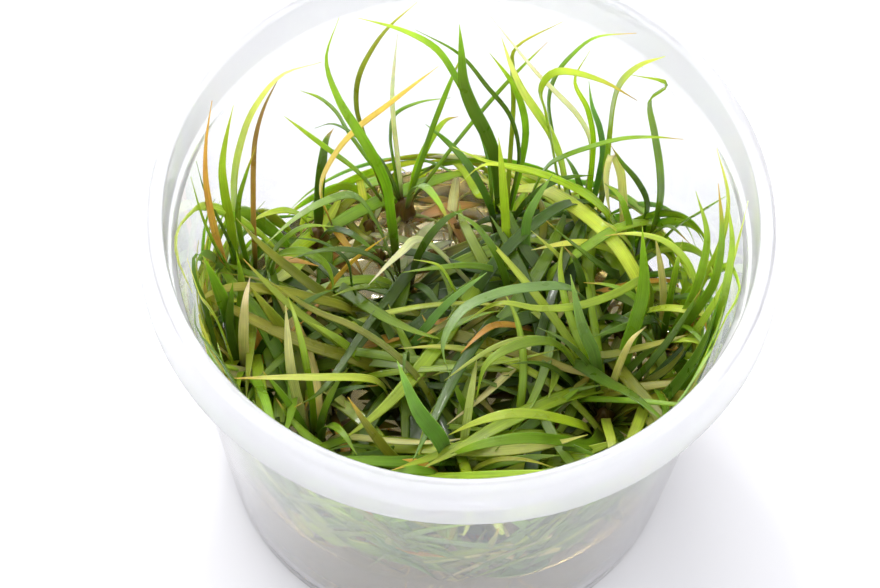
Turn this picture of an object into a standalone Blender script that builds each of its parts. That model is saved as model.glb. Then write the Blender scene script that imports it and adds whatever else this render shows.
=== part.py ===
"""Narrow-leaved chain sword plantlets, grown in culture gel in their own clear cup.

Lengths in the tables are millimetres. The cup's base stands on z = 0, its axis is +Z, and its front is -Y.
The cup and the gel are turned, a crown with its roots is turned too, and a leaf is a blade lofted along a
smooth line through a few points. A leaf that would run through another is moved aside until it lies clear,
so that each leaf keeps its own space.
"""

import bpy
import numpy as np
from mathutils.bvhtree import BVHTree

MM = 0.001
PART = "tissue_culture_cup"

# The cup: radii are outside ones, but for the stacking step's, where the inside of the tapered wall ends
CUP_HEIGHT = 65.0
WALL = 0.9
CUP_SIDES = 44
BASE_RADIUS = 33.0
FOOT_RECESS = 0.8
FOOT_CHAMFER = 0.9
FOOT_WIDTH = 1.7
HEEL_WIDTH = 1.4
HEEL_HEIGHT = 3.2
STEP_RADIUS = 38.4
STEP_DROP = 8.0
STEP_WIDTH = 1.0
STEP_SLOPE = 0.6
RIM_RADIUS = 41.5
RIM_FLARE = 2.0
RIM_WALL = 1.3
RIM_ROUND = 0.4
SKIRT_RADIUS = 43.5
SKIRT_DROP = 7.0

# The gel and the crowns that stand in it
GEL_TOP = 20.0
GAP = 0.3
GEL_HEEL = 0.7
CROWN_RADIUS = 2.0
CROWN_HEIGHT = 4.6
ROOT_DEPTH = 7.0
CROWN_SIDES = 6
NECK_RADIUS = 1.2
ROOT_RADIUS = 0.5
POCKET_RADIUS = 1.8
POCKET_SIDES = 6

# The leaves
BLADE_THICKNESS = 0.5
LEAST_WIDTH = 0.35
BLADE_PIECES = 8
TUFT_PIECES = 6
LEAF_START = 3.0
TUFT_START = 0.7
OVER_GEL = 0.3
SIDEWAYS_REACH = 8.0
CURVE_STEPS = 17

# The young leaves of a crown: how many, the angle between them, and the range of widths, reaches and rises
YOUNG_LEAVES = 3
YOUNG_TURN = 1.7
YOUNG_WIDTH = (0.8, 1.3)
YOUNG_REACH = (7.0, 17.0)
YOUNG_RISE = (8.0, 20.0)
YOUNG_MARKS = (0.3, 0.65, 1.0)
YOUNG_PEAK = 0.8

# How often a leaf is moved before it is given up, and the seed of its moves
TRIES = 260
SEED = 16

# A blade's section, as shares of its half width and half thickness: a ridge over a flat underside
SECTION = ((1.0, -0.6), (0.0, 1.0), (-1.0, -0.6))

TINTS = {
    "bright": (0.22, 0.40, 0.02),
    "green": (0.12, 0.27, 0.015),
    "dark": (0.04, 0.12, 0.012),
    "teal": (0.10, 0.28, 0.06),
    "sage": (0.17, 0.30, 0.09),
    "olive": (0.18, 0.20, 0.02),
    "lime": (0.38, 0.50, 0.06),
    "pale": (0.55, 0.60, 0.25),
    "yellow": (0.62, 0.55, 0.18),
    "orange": (0.62, 0.28, 0.05),
    "brown": (0.30, 0.16, 0.04),
}

# Where each crown stands, as x and y
CROWNS = {
    "plantlet_left": (-29.0, 8.0),
    "plantlet_left_wall": (-29.5, -6.0),
    "plantlet_middle_left": (-7.5, 11.0),
    "plantlet_front_middle": (-6.5, -4.5),
    "plantlet_front_left": (-18.5, -15.0),
    "plantlet_back": (-8.5, 25.5),
    "plantlet_back_middle": (6.0, 20.5),
    "plantlet_back_right": (18.5, 24.0),
    "plantlet_back_left": (-21.0, 19.5),
    "plantlet_right_back": (25.5, 16.5),
    "plantlet_middle": (8.5, 7.5),
    "plantlet_middle_right": (19.0, 6.5),
    "plantlet_right": (30.0, 4.5),
    "plantlet_front_right": (22.0, -7.5),
    "plantlet_front": (1.5, -21.0),
}

# Name, crown, width, tint, and the points that the leaf passes after it leaves the crown, the tip last
LEAVES = [
    ("orange_leaf_left", "plantlet_left", 0.9, "orange",
     [(-34.5, 7, 45), (-35.5, 9.5, 57), (-35, 16, 63)]),
    ("leaf_left_1", "plantlet_left", 1.1, "bright",
     [(-32.5, 10, 40), (-33.5, 12, 53), (-32, 16, 62)]),
    ("leaf_left_2", "plantlet_left", 1.2, "lime",
     [(-32, 12.5, 46), (-30, 16, 58), (-26.5, 20, 63), (-20.5, 24, 62)]),
    ("brown_leaf_left", "plantlet_left", 0.7, "brown",
     [(-29.5, 13, 41), (-29, 17, 55), (-26, 21.5, 62)]),
    ("leaf_left_3", "plantlet_left", 1.2, "green",
     [(-26, 7.5, 36), (-21, 7, 39), (-18, 6, 35), (-18, 4.5, 30)]),
    ("hooked_leaf_left", "plantlet_left_wall", 0.7, "dark",
     [(-34.5, -7, 48), (-36, -6.5, 57), (-35, -3.5, 55), (-33.5, -3, 52)]),
    ("leaf_left_wall", "plantlet_left_wall", 1.7, "green",
     [(-31.5, -2.5, 34), (-33, -2.5, 44), (-35, -1, 50)]),
    ("orange_leaf_low", "plantlet_left_wall", 2.4, "orange",
     [(-26.5, -2, 26), (-30, -0.5, 30)]),
    ("leaf_middle_1", "plantlet_middle_left", 1.7, "olive",
     [(-16, 4.5, 29), (-26.5, 7, 38), (-31.5, 8.5, 45)]),
    ("leaf_middle_2", "plantlet_middle_left", 1.3, "green",
     [(-10, 16.5, 32), (-11.5, 18.5, 42), (-16.5, 21, 53), (-19.5, 23, 59), (-20, 26.5, 62),
      (-18.5, 29.5, 65)]),
    ("orange_leaf_middle", "plantlet_middle_left", 0.7, "orange",
     [(-18.5, 5.5, 29), (-15.5, 8, 35), (-10.5, 10.5, 39)]),
    ("leaf_front_left_1", "plantlet_front_middle", 1.1, "bright",
     [(-16, -3.5, 32), (-24, -0.5, 38), (-30, 2.5, 44)]),
    ("leaf_front_left_2", "plantlet_front_middle", 1.2, "lime",
     [(-11, -10, 34), (-19.5, -13.5, 40), (-30.5, -16, 43)]),
    ("leaf_middle_3", "plantlet_front_middle", 1.2, "teal",
     [(-6, -2.5, 30), (-1.5, 1.5, 36), (4, 5, 40)]),
    ("yellow_leaf_front", "plantlet_front_left", 1.2, "yellow",
     [(-21, -13.5, 30), (-22.5, -10.5, 38), (-23.5, -4.5, 44)]),
    ("leaf_back_1", "plantlet_back", 0.7, "olive",
     [(-15.5, 28, 42), (-16, 29, 49), (-14, 30, 57), (-11.5, 31.5, 61), (-8, 33.5, 64)]),
    ("leaf_back_2", "plantlet_back_middle", 1.1, "green",
     [(3, 26.5, 38), (-1.5, 29, 51), (-5.5, 30.5, 58), (-11, 30.5, 62), (-16, 31, 63)]),
    ("leaf_back_3", "plantlet_back_middle", 1.7, "dark",
     [(4, 26, 38), (-0.5, 28, 50), (-1.5, 30, 57), (-2, 31.5, 62)]),
    ("leaf_back_4", "plantlet_back", 0.8, "bright",
     [(-15.5, 26.5, 30), (-20.5, 25, 39), (-26, 24.5, 47)]),
    ("orange_leaf_back", "plantlet_back_left", 0.8, "orange",
     [(-20.5, 20, 36), (-17, 22.5, 45), (-11, 24.5, 52), (-4.5, 26.5, 59)]),
    ("leaf_back_right_1", "plantlet_back_right", 0.9, "pale",
     [(17.5, 29, 40), (9, 30, 54), (2, 33, 63)]),
    ("leaf_back_right_2", "plantlet_back_right", 1.1, "lime",
     [(13, 28, 38), (7, 29.5, 51), (4, 32, 59)]),
    ("leaf_back_right_3", "plantlet_back_right", 0.7, "green",
     [(11.5, 31, 44), (14, 31, 57), (17.5, 31, 62), (22.5, 30.5, 64)]),
    ("leaf_back_right_4", "plantlet_back_right", 1.1, "bright",
     [(11, 29, 42), (9.5, 29.5, 49), (11.5, 29, 55), (16.5, 28.5, 55), (23, 27, 52)]),
    ("leaf_back_right_5", "plantlet_back_right", 1.9, "bright",
     [(20.5, 26.5, 40), (20.5, 28, 50), (22, 28, 58), (27, 27.5, 64)]),
    ("folded_leaf_right", "plantlet_right_back", 1.3, "green",
     [(28, 20, 41), (25, 25, 57), (27.5, 25, 59), (26, 25.5, 61), (22, 25, 62)]),
    ("yellow_leaf_hanging", "plantlet_right_back", 1.1, "yellow",
     [(22.5, 23.5, 38), (20.5, 23.5, 44), (20.5, 22, 38), (21.5, 20.5, 32)]),
    ("leaf_right_1", "plantlet_back_middle", 0.9, "green",
     [(11.5, 25, 36), (16, 23.5, 44), (23, 22.5, 50), (30, 19.5, 55)]),
    ("leaf_right_2", "plantlet_right_back", 0.9, "bright",
     [(20, 23, 31), (12.5, 22.5, 38), (3.5, 22, 42), (-2, 23, 44)]),
    ("leaf_right_3", "plantlet_right_back", 1.2, "bright",
     [(21.5, 20, 32), (13.5, 21.5, 39), (3.5, 21, 43), (-0.5, 19.5, 40)]),
    ("leaf_right_4", "plantlet_right", 1.1, "lime",
     [(36, -2.5, 52), (37.5, 1.5, 60), (39.5, 4, 65)]),
    ("leaf_right_5", "plantlet_right", 0.9, "lime",
     [(34, 2.5, 35), (32.5, 6.5, 42), (27, 9, 46), (20, 8, 47)]),
    ("leaf_right_wall_1", "plantlet_front_right", 1.3, "green",
     [(33, -8, 37), (35.5, -7, 54), (36.5, 0, 60), (35.5, 6, 62)]),
    ("leaf_right_wall_2", "plantlet_front_right", 1.9, "dark",
     [(30, -8, 30), (34, -7.5, 44), (35.5, -5, 56)]),
    ("leaf_front_right_1", "plantlet_front_right", 0.8, "lime",
     [(17, -3.5, 32), (12, -4, 38), (5.5, -7, 40), (-1, -11, 37)]),
    ("leaf_front_right_2", "plantlet_front_right", 1.6, "sage",
     [(20, -4, 33), (17.5, -2.5, 40), (15.5, 2, 46)]),
    ("leaf_front_right_3", "plantlet_front_right", 1.7, "green",
     [(24.5, -1.5, 33), (26, 3, 41), (25, 8, 50)]),
    ("leaf_front_1", "plantlet_middle_right", 1.6, "sage",
     [(17.5, 5, 36), (8.5, 1.5, 42), (1, -3.5, 44), (-1.5, -8.5, 43), (0, -11.5, 38)]),
    ("leaf_front_2", "plantlet_right", 1.1, "bright",
     [(27, 6.5, 38), (20, 1, 41), (13, -1.5, 42), (6, -1.5, 43), (1, -4, 41)]),
    ("leaf_front_3", "plantlet_front_right", 1.5, "bright",
     [(18, -15, 34), (11, -17, 40), (5.5, -18.5, 41), (0, -20, 38)]),
    ("leaf_front_4", "plantlet_front", 2.1, "teal",
     [(-0.5, -20, 34), (-4.5, -19.5, 44), (-7.5, -16, 51)]),
    ("orange_leaf_front", "plantlet_middle_right", 1.2, "orange",
     [(6, -0.5, 35), (1, -6, 36)]),
    ("pale_leaf_middle", "plantlet_middle", 1.1, "pale",
     [(-4.5, 14, 32), (-8, 9.5, 37), (-12.5, 3, 38)]),
]

# The lesser leaves, which stay one piece with their crown: crown, width, and the points as above
TUFT_LEAVES = [
    ("plantlet_left", 0.7, [(-32, 12, 38), (-31, 14, 46), (-29.5, 15.5, 52)]),
    ("plantlet_left", 0.6, [(-33, 8.5, 41), (-35.5, 8, 53), (-36.5, 9, 59)]),
    ("plantlet_left", 0.6, [(-34, 5.5, 41), (-36, 4.5, 54), (-37, 6, 59)]),
    ("plantlet_left", 1.1, [(-25.5, 8, 33), (-22.5, 7.5, 35), (-19.5, 7.5, 34)]),
    ("plantlet_left_wall", 0.8, [(-33, -6, 40), (-35, -10, 56), (-36.5, -7, 59)]),
    ("plantlet_left_wall", 1.1, [(-31.5, -3.5, 30), (-32, -2, 36), (-31.5, 0, 43)]),
    ("plantlet_left_wall", 1.3, [(-30.5, -4, 34), (-30, -0.5, 40), (-31, 2.5, 46)]),
    ("plantlet_left_wall", 0.9, [(-32, -5, 30), (-34, -5.5, 33), (-35, -6, 35)]),
    ("plantlet_middle_left", 0.6, [(-14, 5.5, 29), (-15.5, 8, 35), (-19.5, 9.5, 38), (-24, 10, 38)]),
    ("plantlet_middle_left", 1.2, [(-13.5, 22, 30), (-20.5, 17.5, 34), (-26.5, 11, 34)]),
    ("plantlet_middle_left", 1.2, [(-11, 8, 29), (-15, 5.5, 32), (-18, 4, 32)]),
    ("plantlet_front_middle", 0.9, [(-12, -2, 28), (-17, -0.5, 33), (-22.5, 0.5, 38)]),
    ("plantlet_front_middle", 1.1, [(-8.5, -3.5, 28), (-11.5, -1.5, 32), (-15, 0, 34)]),
    ("plantlet_front_middle", 1.1, [(-12, -5, 29), (-16, -4, 34), (-20.5, -3, 37)]),
    ("plantlet_front_left", 1.6, [(-22.5, -5, 32), (-25.5, -3, 38), (-29, -0.5, 42)]),
    ("plantlet_front_left", 1.1, [(-22, -12.5, 28), (-24.5, -11.5, 33), (-26.5, -11, 37)]),
    ("plantlet_front_left", 1.1, [(-17.5, -12, 30), (-15, -11, 33), (-10.5, -10, 33)]),
    ("plantlet_front_left", 1.6, [(-16.5, -27.5, 33), (-21, -28, 44), (-26, -25.5, 55)]),
    ("plantlet_front_left", 1.6, [(-13.5, -27, 30), (-12, -32, 36), (-14.5, -32.5, 41)]),
    ("plantlet_front_left", 1.1, [(-23, -22, 29), (-26.5, -22.5, 40), (-29, -21, 52)]),
    ("plantlet_back", 0.6, [(-10, 28, 34), (-11, 30, 46), (-10.5, 32.5, 58)]),
    ("plantlet_back", 0.8, [(-16.5, 30, 33), (-20, 29.5, 43), (-24, 27, 50)]),
    ("plantlet_back", 0.8, [(-5.5, 29, 36), (-3.5, 30, 46), (-1.5, 31, 55)]),
    ("plantlet_back", 0.6, [(-11, 29, 38), (-8.5, 30, 43), (-2.5, 30.5, 45)]),
    ("plantlet_back", 0.6, [(-0.5, 30.5, 36), (5.5, 31.5, 49), (10.5, 33, 57)]),
    ("plantlet_back_middle", 0.6, [(7.5, 28, 39), (1.5, 29.5, 52), (-3, 30.5, 58), (-8, 31, 61)]),
    ("plantlet_back_middle", 0.9, [(8.5, 29.5, 38), (6, 31, 49), (2.5, 32, 55)]),
    ("plantlet_back_middle", 0.6, [(6.5, 31, 45), (6, 31, 57), (12.5, 33.5, 61)]),
    ("plantlet_back_right", 0.7, [(18, 28.5, 42), (14.5, 30.5, 53), (16.5, 32, 57)]),
    ("plantlet_back_right", 0.8, [(19.5, 28, 38), (17.5, 29, 46), (16.5, 30, 52)]),
    ("plantlet_right_back", 0.9, [(18.5, 26, 31), (11.5, 26, 37), (4, 26.5, 42), (-2.5, 26.5, 45)]),
    ("plantlet_right_back", 0.8, [(26.5, 21.5, 35), (23, 23, 41), (20.5, 23.5, 46)]),
    ("plantlet_right_back", 1.1, [(30, 15.5, 37), (33, 11.5, 49), (35.5, 7.5, 60)]),
    ("plantlet_right_back", 1.6, [(22, 11.5, 31), (17, 11.5, 37), (12, 13.5, 41)]),
    ("plantlet_right_back", 0.9, [(25, 16, 30), (22.5, 16, 35), (20, 16, 38)]),
    ("plantlet_middle", 1.1, [(6.5, 16.5, 33), (5.5, 20, 41), (4.5, 22.5, 48)]),
    ("plantlet_middle", 1.2, [(9.5, 13, 30), (9.5, 16.5, 37), (12.5, 20, 43)]),
    ("plantlet_middle", 0.7, [(2, 5.5, 28), (-0.5, 5, 35), (-3, 7, 38), (-6.5, 7, 39)]),
    ("plantlet_middle_right", 0.9, [(6, 10.5, 31), (-1, 8.5, 35), (-8, 6.5, 36)]),
    ("plantlet_middle_right", 0.7, [(15.5, 12, 31), (10, 13.5, 38)]),
    ("plantlet_right", 0.8, [(35.5, 5.5, 49), (36.5, 9, 58), (34, 15, 60)]),
    ("plantlet_right", 1.1, [(34, 4.5, 41), (34.5, 7.5, 51), (32.5, 11.5, 55)]),
    ("plantlet_right", 1.1, [(35, 0.5, 48), (35.5, 4, 56), (34.5, 9.5, 60)]),
    ("plantlet_right", 1.1, [(28.5, 3.5, 32), (24, 0.5, 35), (19.5, -1.5, 35)]),
    ("plantlet_right", 0.9, [(29.5, 8.5, 31), (28.5, 11, 36), (27.5, 12.5, 40)]),
    ("plantlet_front_right", 0.9, [(27.5, -3, 29), (31.5, 0.5, 35), (34.5, 4.5, 40)]),
    ("plantlet_front_right", 1.3, [(15, -4, 36), (8.5, -7, 41), (4.5, -10.5, 41), (3.5, -14, 37)]),
    ("plantlet_front_right", 0.7, [(14, -8, 26), (7.5, -8.5, 31), (1, -8.5, 35), (-3, -9, 36)]),
    ("plantlet_front_right", 1.2, [(17, -4.5, 26), (11.5, -4.5, 29), (7, -6, 31)]),
    ("plantlet_front_right", 1.1, [(17, -3.5, 28), (13, -3.5, 32), (8.5, -5, 34)]),
    ("plantlet_front_right", 0.8, [(17, -7.5, 27), (14.5, -9.5, 30), (12.5, -11.5, 29)]),
    ("plantlet_front_right", 1.6, [(20, -16.5, 31), (12.5, -18.5, 36), (5, -20.5, 37), (-0.5, -21, 33)]),
    ("plantlet_front_right", 1.1, [(24, -3, 27), (27, -1, 31), (30, 0, 34)]),
    ("plantlet_front_right", 1.1, [(26.5, -5.5, 28), (31, -3.5, 32), (33, -1.5, 36)]),
    ("plantlet_front_right", 0.9, [(24, -17, 34), (21.5, -24, 44), (21.5, -28, 52)]),
    ("plantlet_front", 1.5, [(3.5, -13.5, 28), (2, -12.5, 33), (0, -9.5, 35)]),
    ("plantlet_front", 1.1, [(4.5, -21, 30), (10, -21, 34), (15.5, -20.5, 35)]),
    ("plantlet_front", 1.3, [(-1, -21, 28), (-3, -21.5, 32), (-6, -22.5, 35)]),
    ("plantlet_front", 1.3, [(-7, -19, 28), (-11, -17.5, 34), (-14.5, -14.5, 38)]),
    ("plantlet_front", 0.8, [(-8.5, -17, 28), (-13, -18, 32), (-17.5, -20, 33)]),
    ("plantlet_front", 1.3, [(-2, -28, 30), (-7, -31, 32), (-10.5, -32, 36)]),
    ("plantlet_front", 1.2, [(4, -26, 28), (7, -30.5, 33), (8.5, -33, 40)]),
    ("plantlet_front", 1.3, [(10, -26, 29), (18, -27.5, 34), (25, -25, 42)]),
]

# A leaf in another's way is pushed along this slope, up and to the front, and a little at random, and its
# foot goes round its crown and up it: by at most these lengths and this angle in radians
LIFT = np.array([0.0, -0.5, 0.866])
MOST_LIFT = 7.0
LEAST_LIFT = -4.2
MOST_DRIFT = 1.2
MOST_TURN = 1.6
MOST_CLIMB = 2.0
TUFT_CLIMB = 0.8


def inner_radius(z):
    """The cup's inside radius at height z: the wall's taper up to the step, and the rim's wall above it."""
    step = CUP_HEIGHT - STEP_DROP
    tapered = BASE_RADIUS - WALL + (STEP_RADIUS - BASE_RADIUS + WALL) * np.minimum(z, step) / step
    return np.where(z < step, tapered, STEP_RADIUS + STEP_WIDTH)


def smooth_line(points, pieces):
    """A Catmull-Rom curve through the points, cut into pieces of equal length."""
    points = np.asarray(points, float)
    ends = np.vstack([2 * points[0] - points[1], points, 2 * points[-1] - points[-2]])
    t = np.linspace(0.0, 1.0, CURVE_STEPS)[:, None]
    runs = []
    for a, b, c, d in zip(ends[:-3], ends[1:-2], ends[2:-1], ends[3:]):
        run = 2 * b + (c - a) * t + (2 * a - 5 * b + 4 * c - d) * t**2 + (3 * b - a - 3 * c + d) * t**3
        runs.append(0.5 * run[:-1])
    fine = np.vstack([*runs, points[-1:]])
    way = np.concatenate([[0.0], np.cumsum(np.linalg.norm(np.diff(fine, axis=0), axis=1))])
    marks = np.linspace(0.0, way[-1], pieces + 1)
    return np.stack([np.interp(marks, way, fine[:, axis]) for axis in range(3)], axis=1)


def kept_inside(line, width):
    """The line with every point held off the wall by half a blade and two gaps, and off the gel."""
    most = inner_radius(line[:, 2]) - 2 * GAP - 0.5 * width
    reach = np.hypot(line[:, 0], line[:, 1])
    held = line.copy()
    held[:, :2] *= np.minimum(1.0, most / reach)[:, None]
    held[:, 2] = np.maximum(held[:, 2], GEL_TOP + GAP + 0.5 * BLADE_THICKNESS + OVER_GEL)
    return held


def blade_sides(line):
    """Across and upper directions along the line: across is level, and square to the leaf's reach."""
    tangent = np.gradient(line, axis=0)
    tangent /= np.linalg.norm(tangent, axis=1)[:, None]
    reach = line[-1] - line[0]
    level = np.array([-reach[1], reach[0], 0.0])
    facing = np.array([1.0, 0.0, 0.0]) * (1.0 if level[0] >= 0 else -1.0)
    level = level + facing * max(0.0, SIDEWAYS_REACH - np.hypot(reach[0], reach[1]))
    across = level - tangent * (tangent @ level)[:, None]
    across /= np.linalg.norm(across, axis=1)[:, None]
    return across, np.cross(tangent, across)


def blade_width(t, width):
    """Narrow at the foot, full from a fifth of the length to the middle, then drawn out to the tip."""
    foot = np.minimum(1.0, 0.6 + 2.0 * t)
    tip = 1.0 - np.maximum(0.0, (t - 0.5) / 0.5) ** 1.7
    return width * foot * tip


def blade_mesh(line, width, spare=0.0):
    """Vertices and faces of a blade: the section's corners carried along the line to a pointed tip."""
    across, upper = blade_sides(line)
    corners = len(SECTION)
    rings = len(line) - 1
    t = np.linspace(0.0, 1.0, len(line))[:-1, None]
    half = 0.5 * np.maximum(blade_width(t, width), LEAST_WIDTH) + spare
    thick = 0.5 * BLADE_THICKNESS + spare
    wide, deep = across[:-1] * half, upper[:-1] * thick
    body = np.stack([line[:-1] + a * wide + b * deep for a, b in SECTION], axis=1)
    ending = line[-1] - line[-2]
    tip = line[-1] + ending / np.linalg.norm(ending) * spare
    vertices = np.vstack([body.reshape(-1, 3), tip[None]])
    faces = [tuple(range(corners))[::-1]]
    for ring in range(rings - 1):
        for k in range(corners):
            a, b = corners * ring + k, corners * ring + (k + 1) % corners
            faces.append((a, b, b + corners, a + corners))
    last = corners * (rings - 1)
    for k in range(corners):
        faces.append((last + k, last + (k + 1) % corners, len(vertices) - 1))
    return vertices, faces


class Space:
    """Shapes already placed, each with its owner, and whether a new shape would touch them."""

    def __init__(self):
        self.shapes = []

    def add(self, owner, vertices, faces):
        tree = BVHTree.FromPolygons(vertices.tolist(), faces)
        self.shapes.append((owner, vertices.min(axis=0), vertices.max(axis=0), tree))

    def is_free(self, owner, vertices, faces):
        """Whether the new shape touches nothing but what its own owner has."""
        low, high = vertices.min(axis=0), vertices.max(axis=0)
        near = [
            tree
            for other, tree_low, tree_high, tree in self.shapes
            if other != owner and (low <= tree_high).all() and (high >= tree_low).all()
        ]
        if not near:
            return True
        own = BVHTree.FromPolygons(vertices.tolist(), faces)
        return not any(own.overlap(tree) for tree in near)


def crown_profile():
    """The crown and its roots, as radius and height, from the top down the outside."""
    foot = GEL_TOP - ROOT_DEPTH
    return [
        (0.0, GEL_TOP + CROWN_HEIGHT),
        (0.65 * CROWN_RADIUS, GEL_TOP + 0.9 * CROWN_HEIGHT),
        (CROWN_RADIUS, GEL_TOP + 0.5 * CROWN_HEIGHT),
        (NECK_RADIUS, GEL_TOP),
        (ROOT_RADIUS, foot + ROOT_RADIUS),
        (0.0, foot),
    ]


def crown_block(x, y):
    """A plain prism round a crown, for telling whether a blade would touch it."""
    turn = np.linspace(0.0, 2.0 * np.pi, CROWN_SIDES, endpoint=False)
    ring = np.stack([np.cos(turn), np.sin(turn)], axis=1) * CROWN_RADIUS
    low = np.column_stack([ring + (x, y), np.full(CROWN_SIDES, GEL_TOP)])
    high = low + (0.0, 0.0, CROWN_HEIGHT)
    faces = [tuple(range(CROWN_SIDES, 2 * CROWN_SIDES))]
    for k in range(CROWN_SIDES):
        after = (k + 1) % CROWN_SIDES
        faces.append((k, after, after + CROWN_SIDES, k + CROWN_SIDES))
    return np.vstack([low, high]), faces


def line_near(points, foot, width, pieces, start, loose, draw):
    """The leaf's line, moved at random by a share of the most that it may move."""
    ahead = np.array(points[0], float) - foot
    turn = np.arctan2(ahead[1], ahead[0]) + draw.uniform(-MOST_TURN, MOST_TURN) * loose
    lift = draw.uniform(LEAST_LIFT, MOST_LIFT) * loose
    drift = draw.uniform(-MOST_DRIFT, MOST_DRIFT, 3) * loose
    climb = draw.uniform(0.0, MOST_CLIMB * loose if start > CROWN_RADIUS else TUFT_CLIMB)
    first = foot + (start * np.cos(turn), start * np.sin(turn), climb)
    rest = np.array(points, float) + LIFT * lift + drift
    return kept_inside(smooth_line(np.vstack([first, rest]), pieces), width)


def placed(spaces, crown, name, width, points, draw):
    """A line for the leaf that touches nothing placed before it, or None where there is no room.

    A leaf with no name of its own is one piece with its crown. It may touch the crown and, up to the first
    joint of its line, the crown's other leaves.
    """
    space, growths = spaces
    owner = name or crown
    pieces, start = (BLADE_PIECES, LEAF_START) if name else (TUFT_PIECES, TUFT_START)
    foot = np.array([*CROWNS[crown], GEL_TOP + 0.5 * CROWN_HEIGHT])
    for attempt in range(TRIES):
        line = line_near(points, foot, width, pieces, start, attempt / TRIES, draw)
        clear = space.is_free(owner, *blade_mesh(line, width, GAP))
        if clear and not name:
            clear = growths.is_free(None, *blade_mesh(line[1:], width, GAP))
        if clear:
            space.add(owner, *blade_mesh(line, width))
            if not name:
                growths.add(crown, *blade_mesh(line[1:], width))
            return line
    return None


def young_leaf(crown, number, draw):
    """Points of a leaf that rises from the crown and bends over: its height is a parabola of its reach.

    The young leaves of a crown fan out about the way to the cup's axis, clear of the wall.
    """
    x, y = CROWNS[crown]
    middle = 0.5 * (YOUNG_LEAVES - 1)
    heading = np.arctan2(-y, -x) + YOUNG_TURN * (number - middle + draw.uniform(-0.3, 0.3))
    reach = draw.uniform(*YOUNG_REACH)
    rise = draw.uniform(*YOUNG_RISE)
    t = np.array(YOUNG_MARKS)
    out = reach * t**1.3
    height = GEL_TOP + 0.5 * CROWN_HEIGHT + rise * t * (2.0 * YOUNG_PEAK - t) / YOUNG_PEAK**2
    return np.stack([x + out * np.cos(heading), y + out * np.sin(heading), height], axis=1)


def arranged():
    """Every leaf as node, tint, width and line: the named ones, then each crown's own lesser ones."""
    draw = np.random.default_rng(SEED)
    spaces = Space(), Space()
    for crown, (x, y) in CROWNS.items():
        spaces[0].add(crown, *crown_block(x, y))
    leaves = []
    for name, crown, width, tint, points in LEAVES:
        line = placed(spaces, crown, name, width, points, draw)
        if line is None:
            raise RuntimeError(f"there is no room for {name}")
        leaves.append((name, tint, width, line))
    lesser = list(TUFT_LEAVES)
    for number in range(YOUNG_LEAVES):
        lesser += [(crown, draw.uniform(*YOUNG_WIDTH), young_leaf(crown, number, draw)) for crown in CROWNS]
    for crown, width, points in lesser:
        line = placed(spaces, crown, None, width, points, draw)
        if line is not None:
            leaves.append((crown, "green", width, line))
    return leaves


def material(name, colour, roughness, transmission=0.0, ior=1.45):
    made = bpy.data.materials.new(name)
    made.use_nodes = True
    shader = made.node_tree.nodes["Principled BSDF"]
    shader.inputs["Base Color"].default_value = (*colour, 1.0)
    shader.inputs["Metallic"].default_value = 0.0
    shader.inputs["Roughness"].default_value = roughness
    shader.inputs["Transmission Weight"].default_value = transmission
    shader.inputs["IOR"].default_value = ior
    return made


def mesh_object(name, vertices, faces, edges, finish, collection):
    """An object from millimetres."""
    mesh = bpy.data.meshes.new(name)
    mesh.from_pydata((np.asarray(vertices, float) * MM).tolist(), edges, faces)
    mesh.update()
    mesh.materials.append(finish)
    made = bpy.data.objects.new(name, mesh)
    collection.objects.link(made)
    return made


def turned(name, profile, sides, finish, collection, place=(0.0, 0.0)):
    """A shape turned on a Screw modifier from a profile that runs down its outer side."""
    vertices = [(radius, 0.0, height) for radius, height in profile]
    edges = [(k, k + 1) for k in range(len(profile) - 1)]
    made = mesh_object(name, vertices, [], edges, finish, collection)
    made.location = (place[0] * MM, place[1] * MM, 0.0)
    screw = made.modifiers.new("turn", "SCREW")
    screw.axis = "Z"
    screw.steps = sides
    screw.render_steps = sides
    screw.use_merge_vertices = True
    screw.merge_threshold = 0.00001
    screw.use_smooth_shade = True
    return made


def build_cup(collection):
    finish = material("milky clear polypropylene", (0.93, 0.93, 0.95), 0.25, 0.85, 1.49)
    step = CUP_HEIGHT - STEP_DROP
    skirt = CUP_HEIGHT - SKIRT_DROP
    floor = FOOT_RECESS + WALL
    ledge = STEP_RADIUS + STEP_WIDTH
    flare = STEP_RADIUS + RIM_FLARE
    foot = BASE_RADIUS - FOOT_CHAMFER
    profile = [
        (0.0, floor),
        (BASE_RADIUS - WALL - HEEL_WIDTH, floor),
        (float(inner_radius(HEEL_HEIGHT)), HEEL_HEIGHT),
        (STEP_RADIUS, step),
        (ledge, step + STEP_SLOPE),
        (ledge + RIM_ROUND, CUP_HEIGHT - 2 * RIM_ROUND),
        (flare, CUP_HEIGHT),
        (RIM_RADIUS - RIM_ROUND, CUP_HEIGHT),
        (RIM_RADIUS + RIM_ROUND, CUP_HEIGHT - 2 * RIM_ROUND),
        (SKIRT_RADIUS, skirt),
        (SKIRT_RADIUS - WALL, skirt),
        (RIM_RADIUS - RIM_ROUND, CUP_HEIGHT - RIM_WALL),
        (flare, CUP_HEIGHT - RIM_WALL),
        (ledge + WALL, step + STEP_SLOPE - WALL),
        (STEP_RADIUS + WALL, step - WALL),
        (BASE_RADIUS, FOOT_CHAMFER),
        (foot, 0.0),
        (foot - FOOT_WIDTH, 0.0),
        (foot - FOOT_WIDTH - FOOT_RECESS, FOOT_RECESS),
        (0.0, FOOT_RECESS),
    ]
    return turned("cup", profile, CUP_SIDES, finish, collection)


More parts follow.
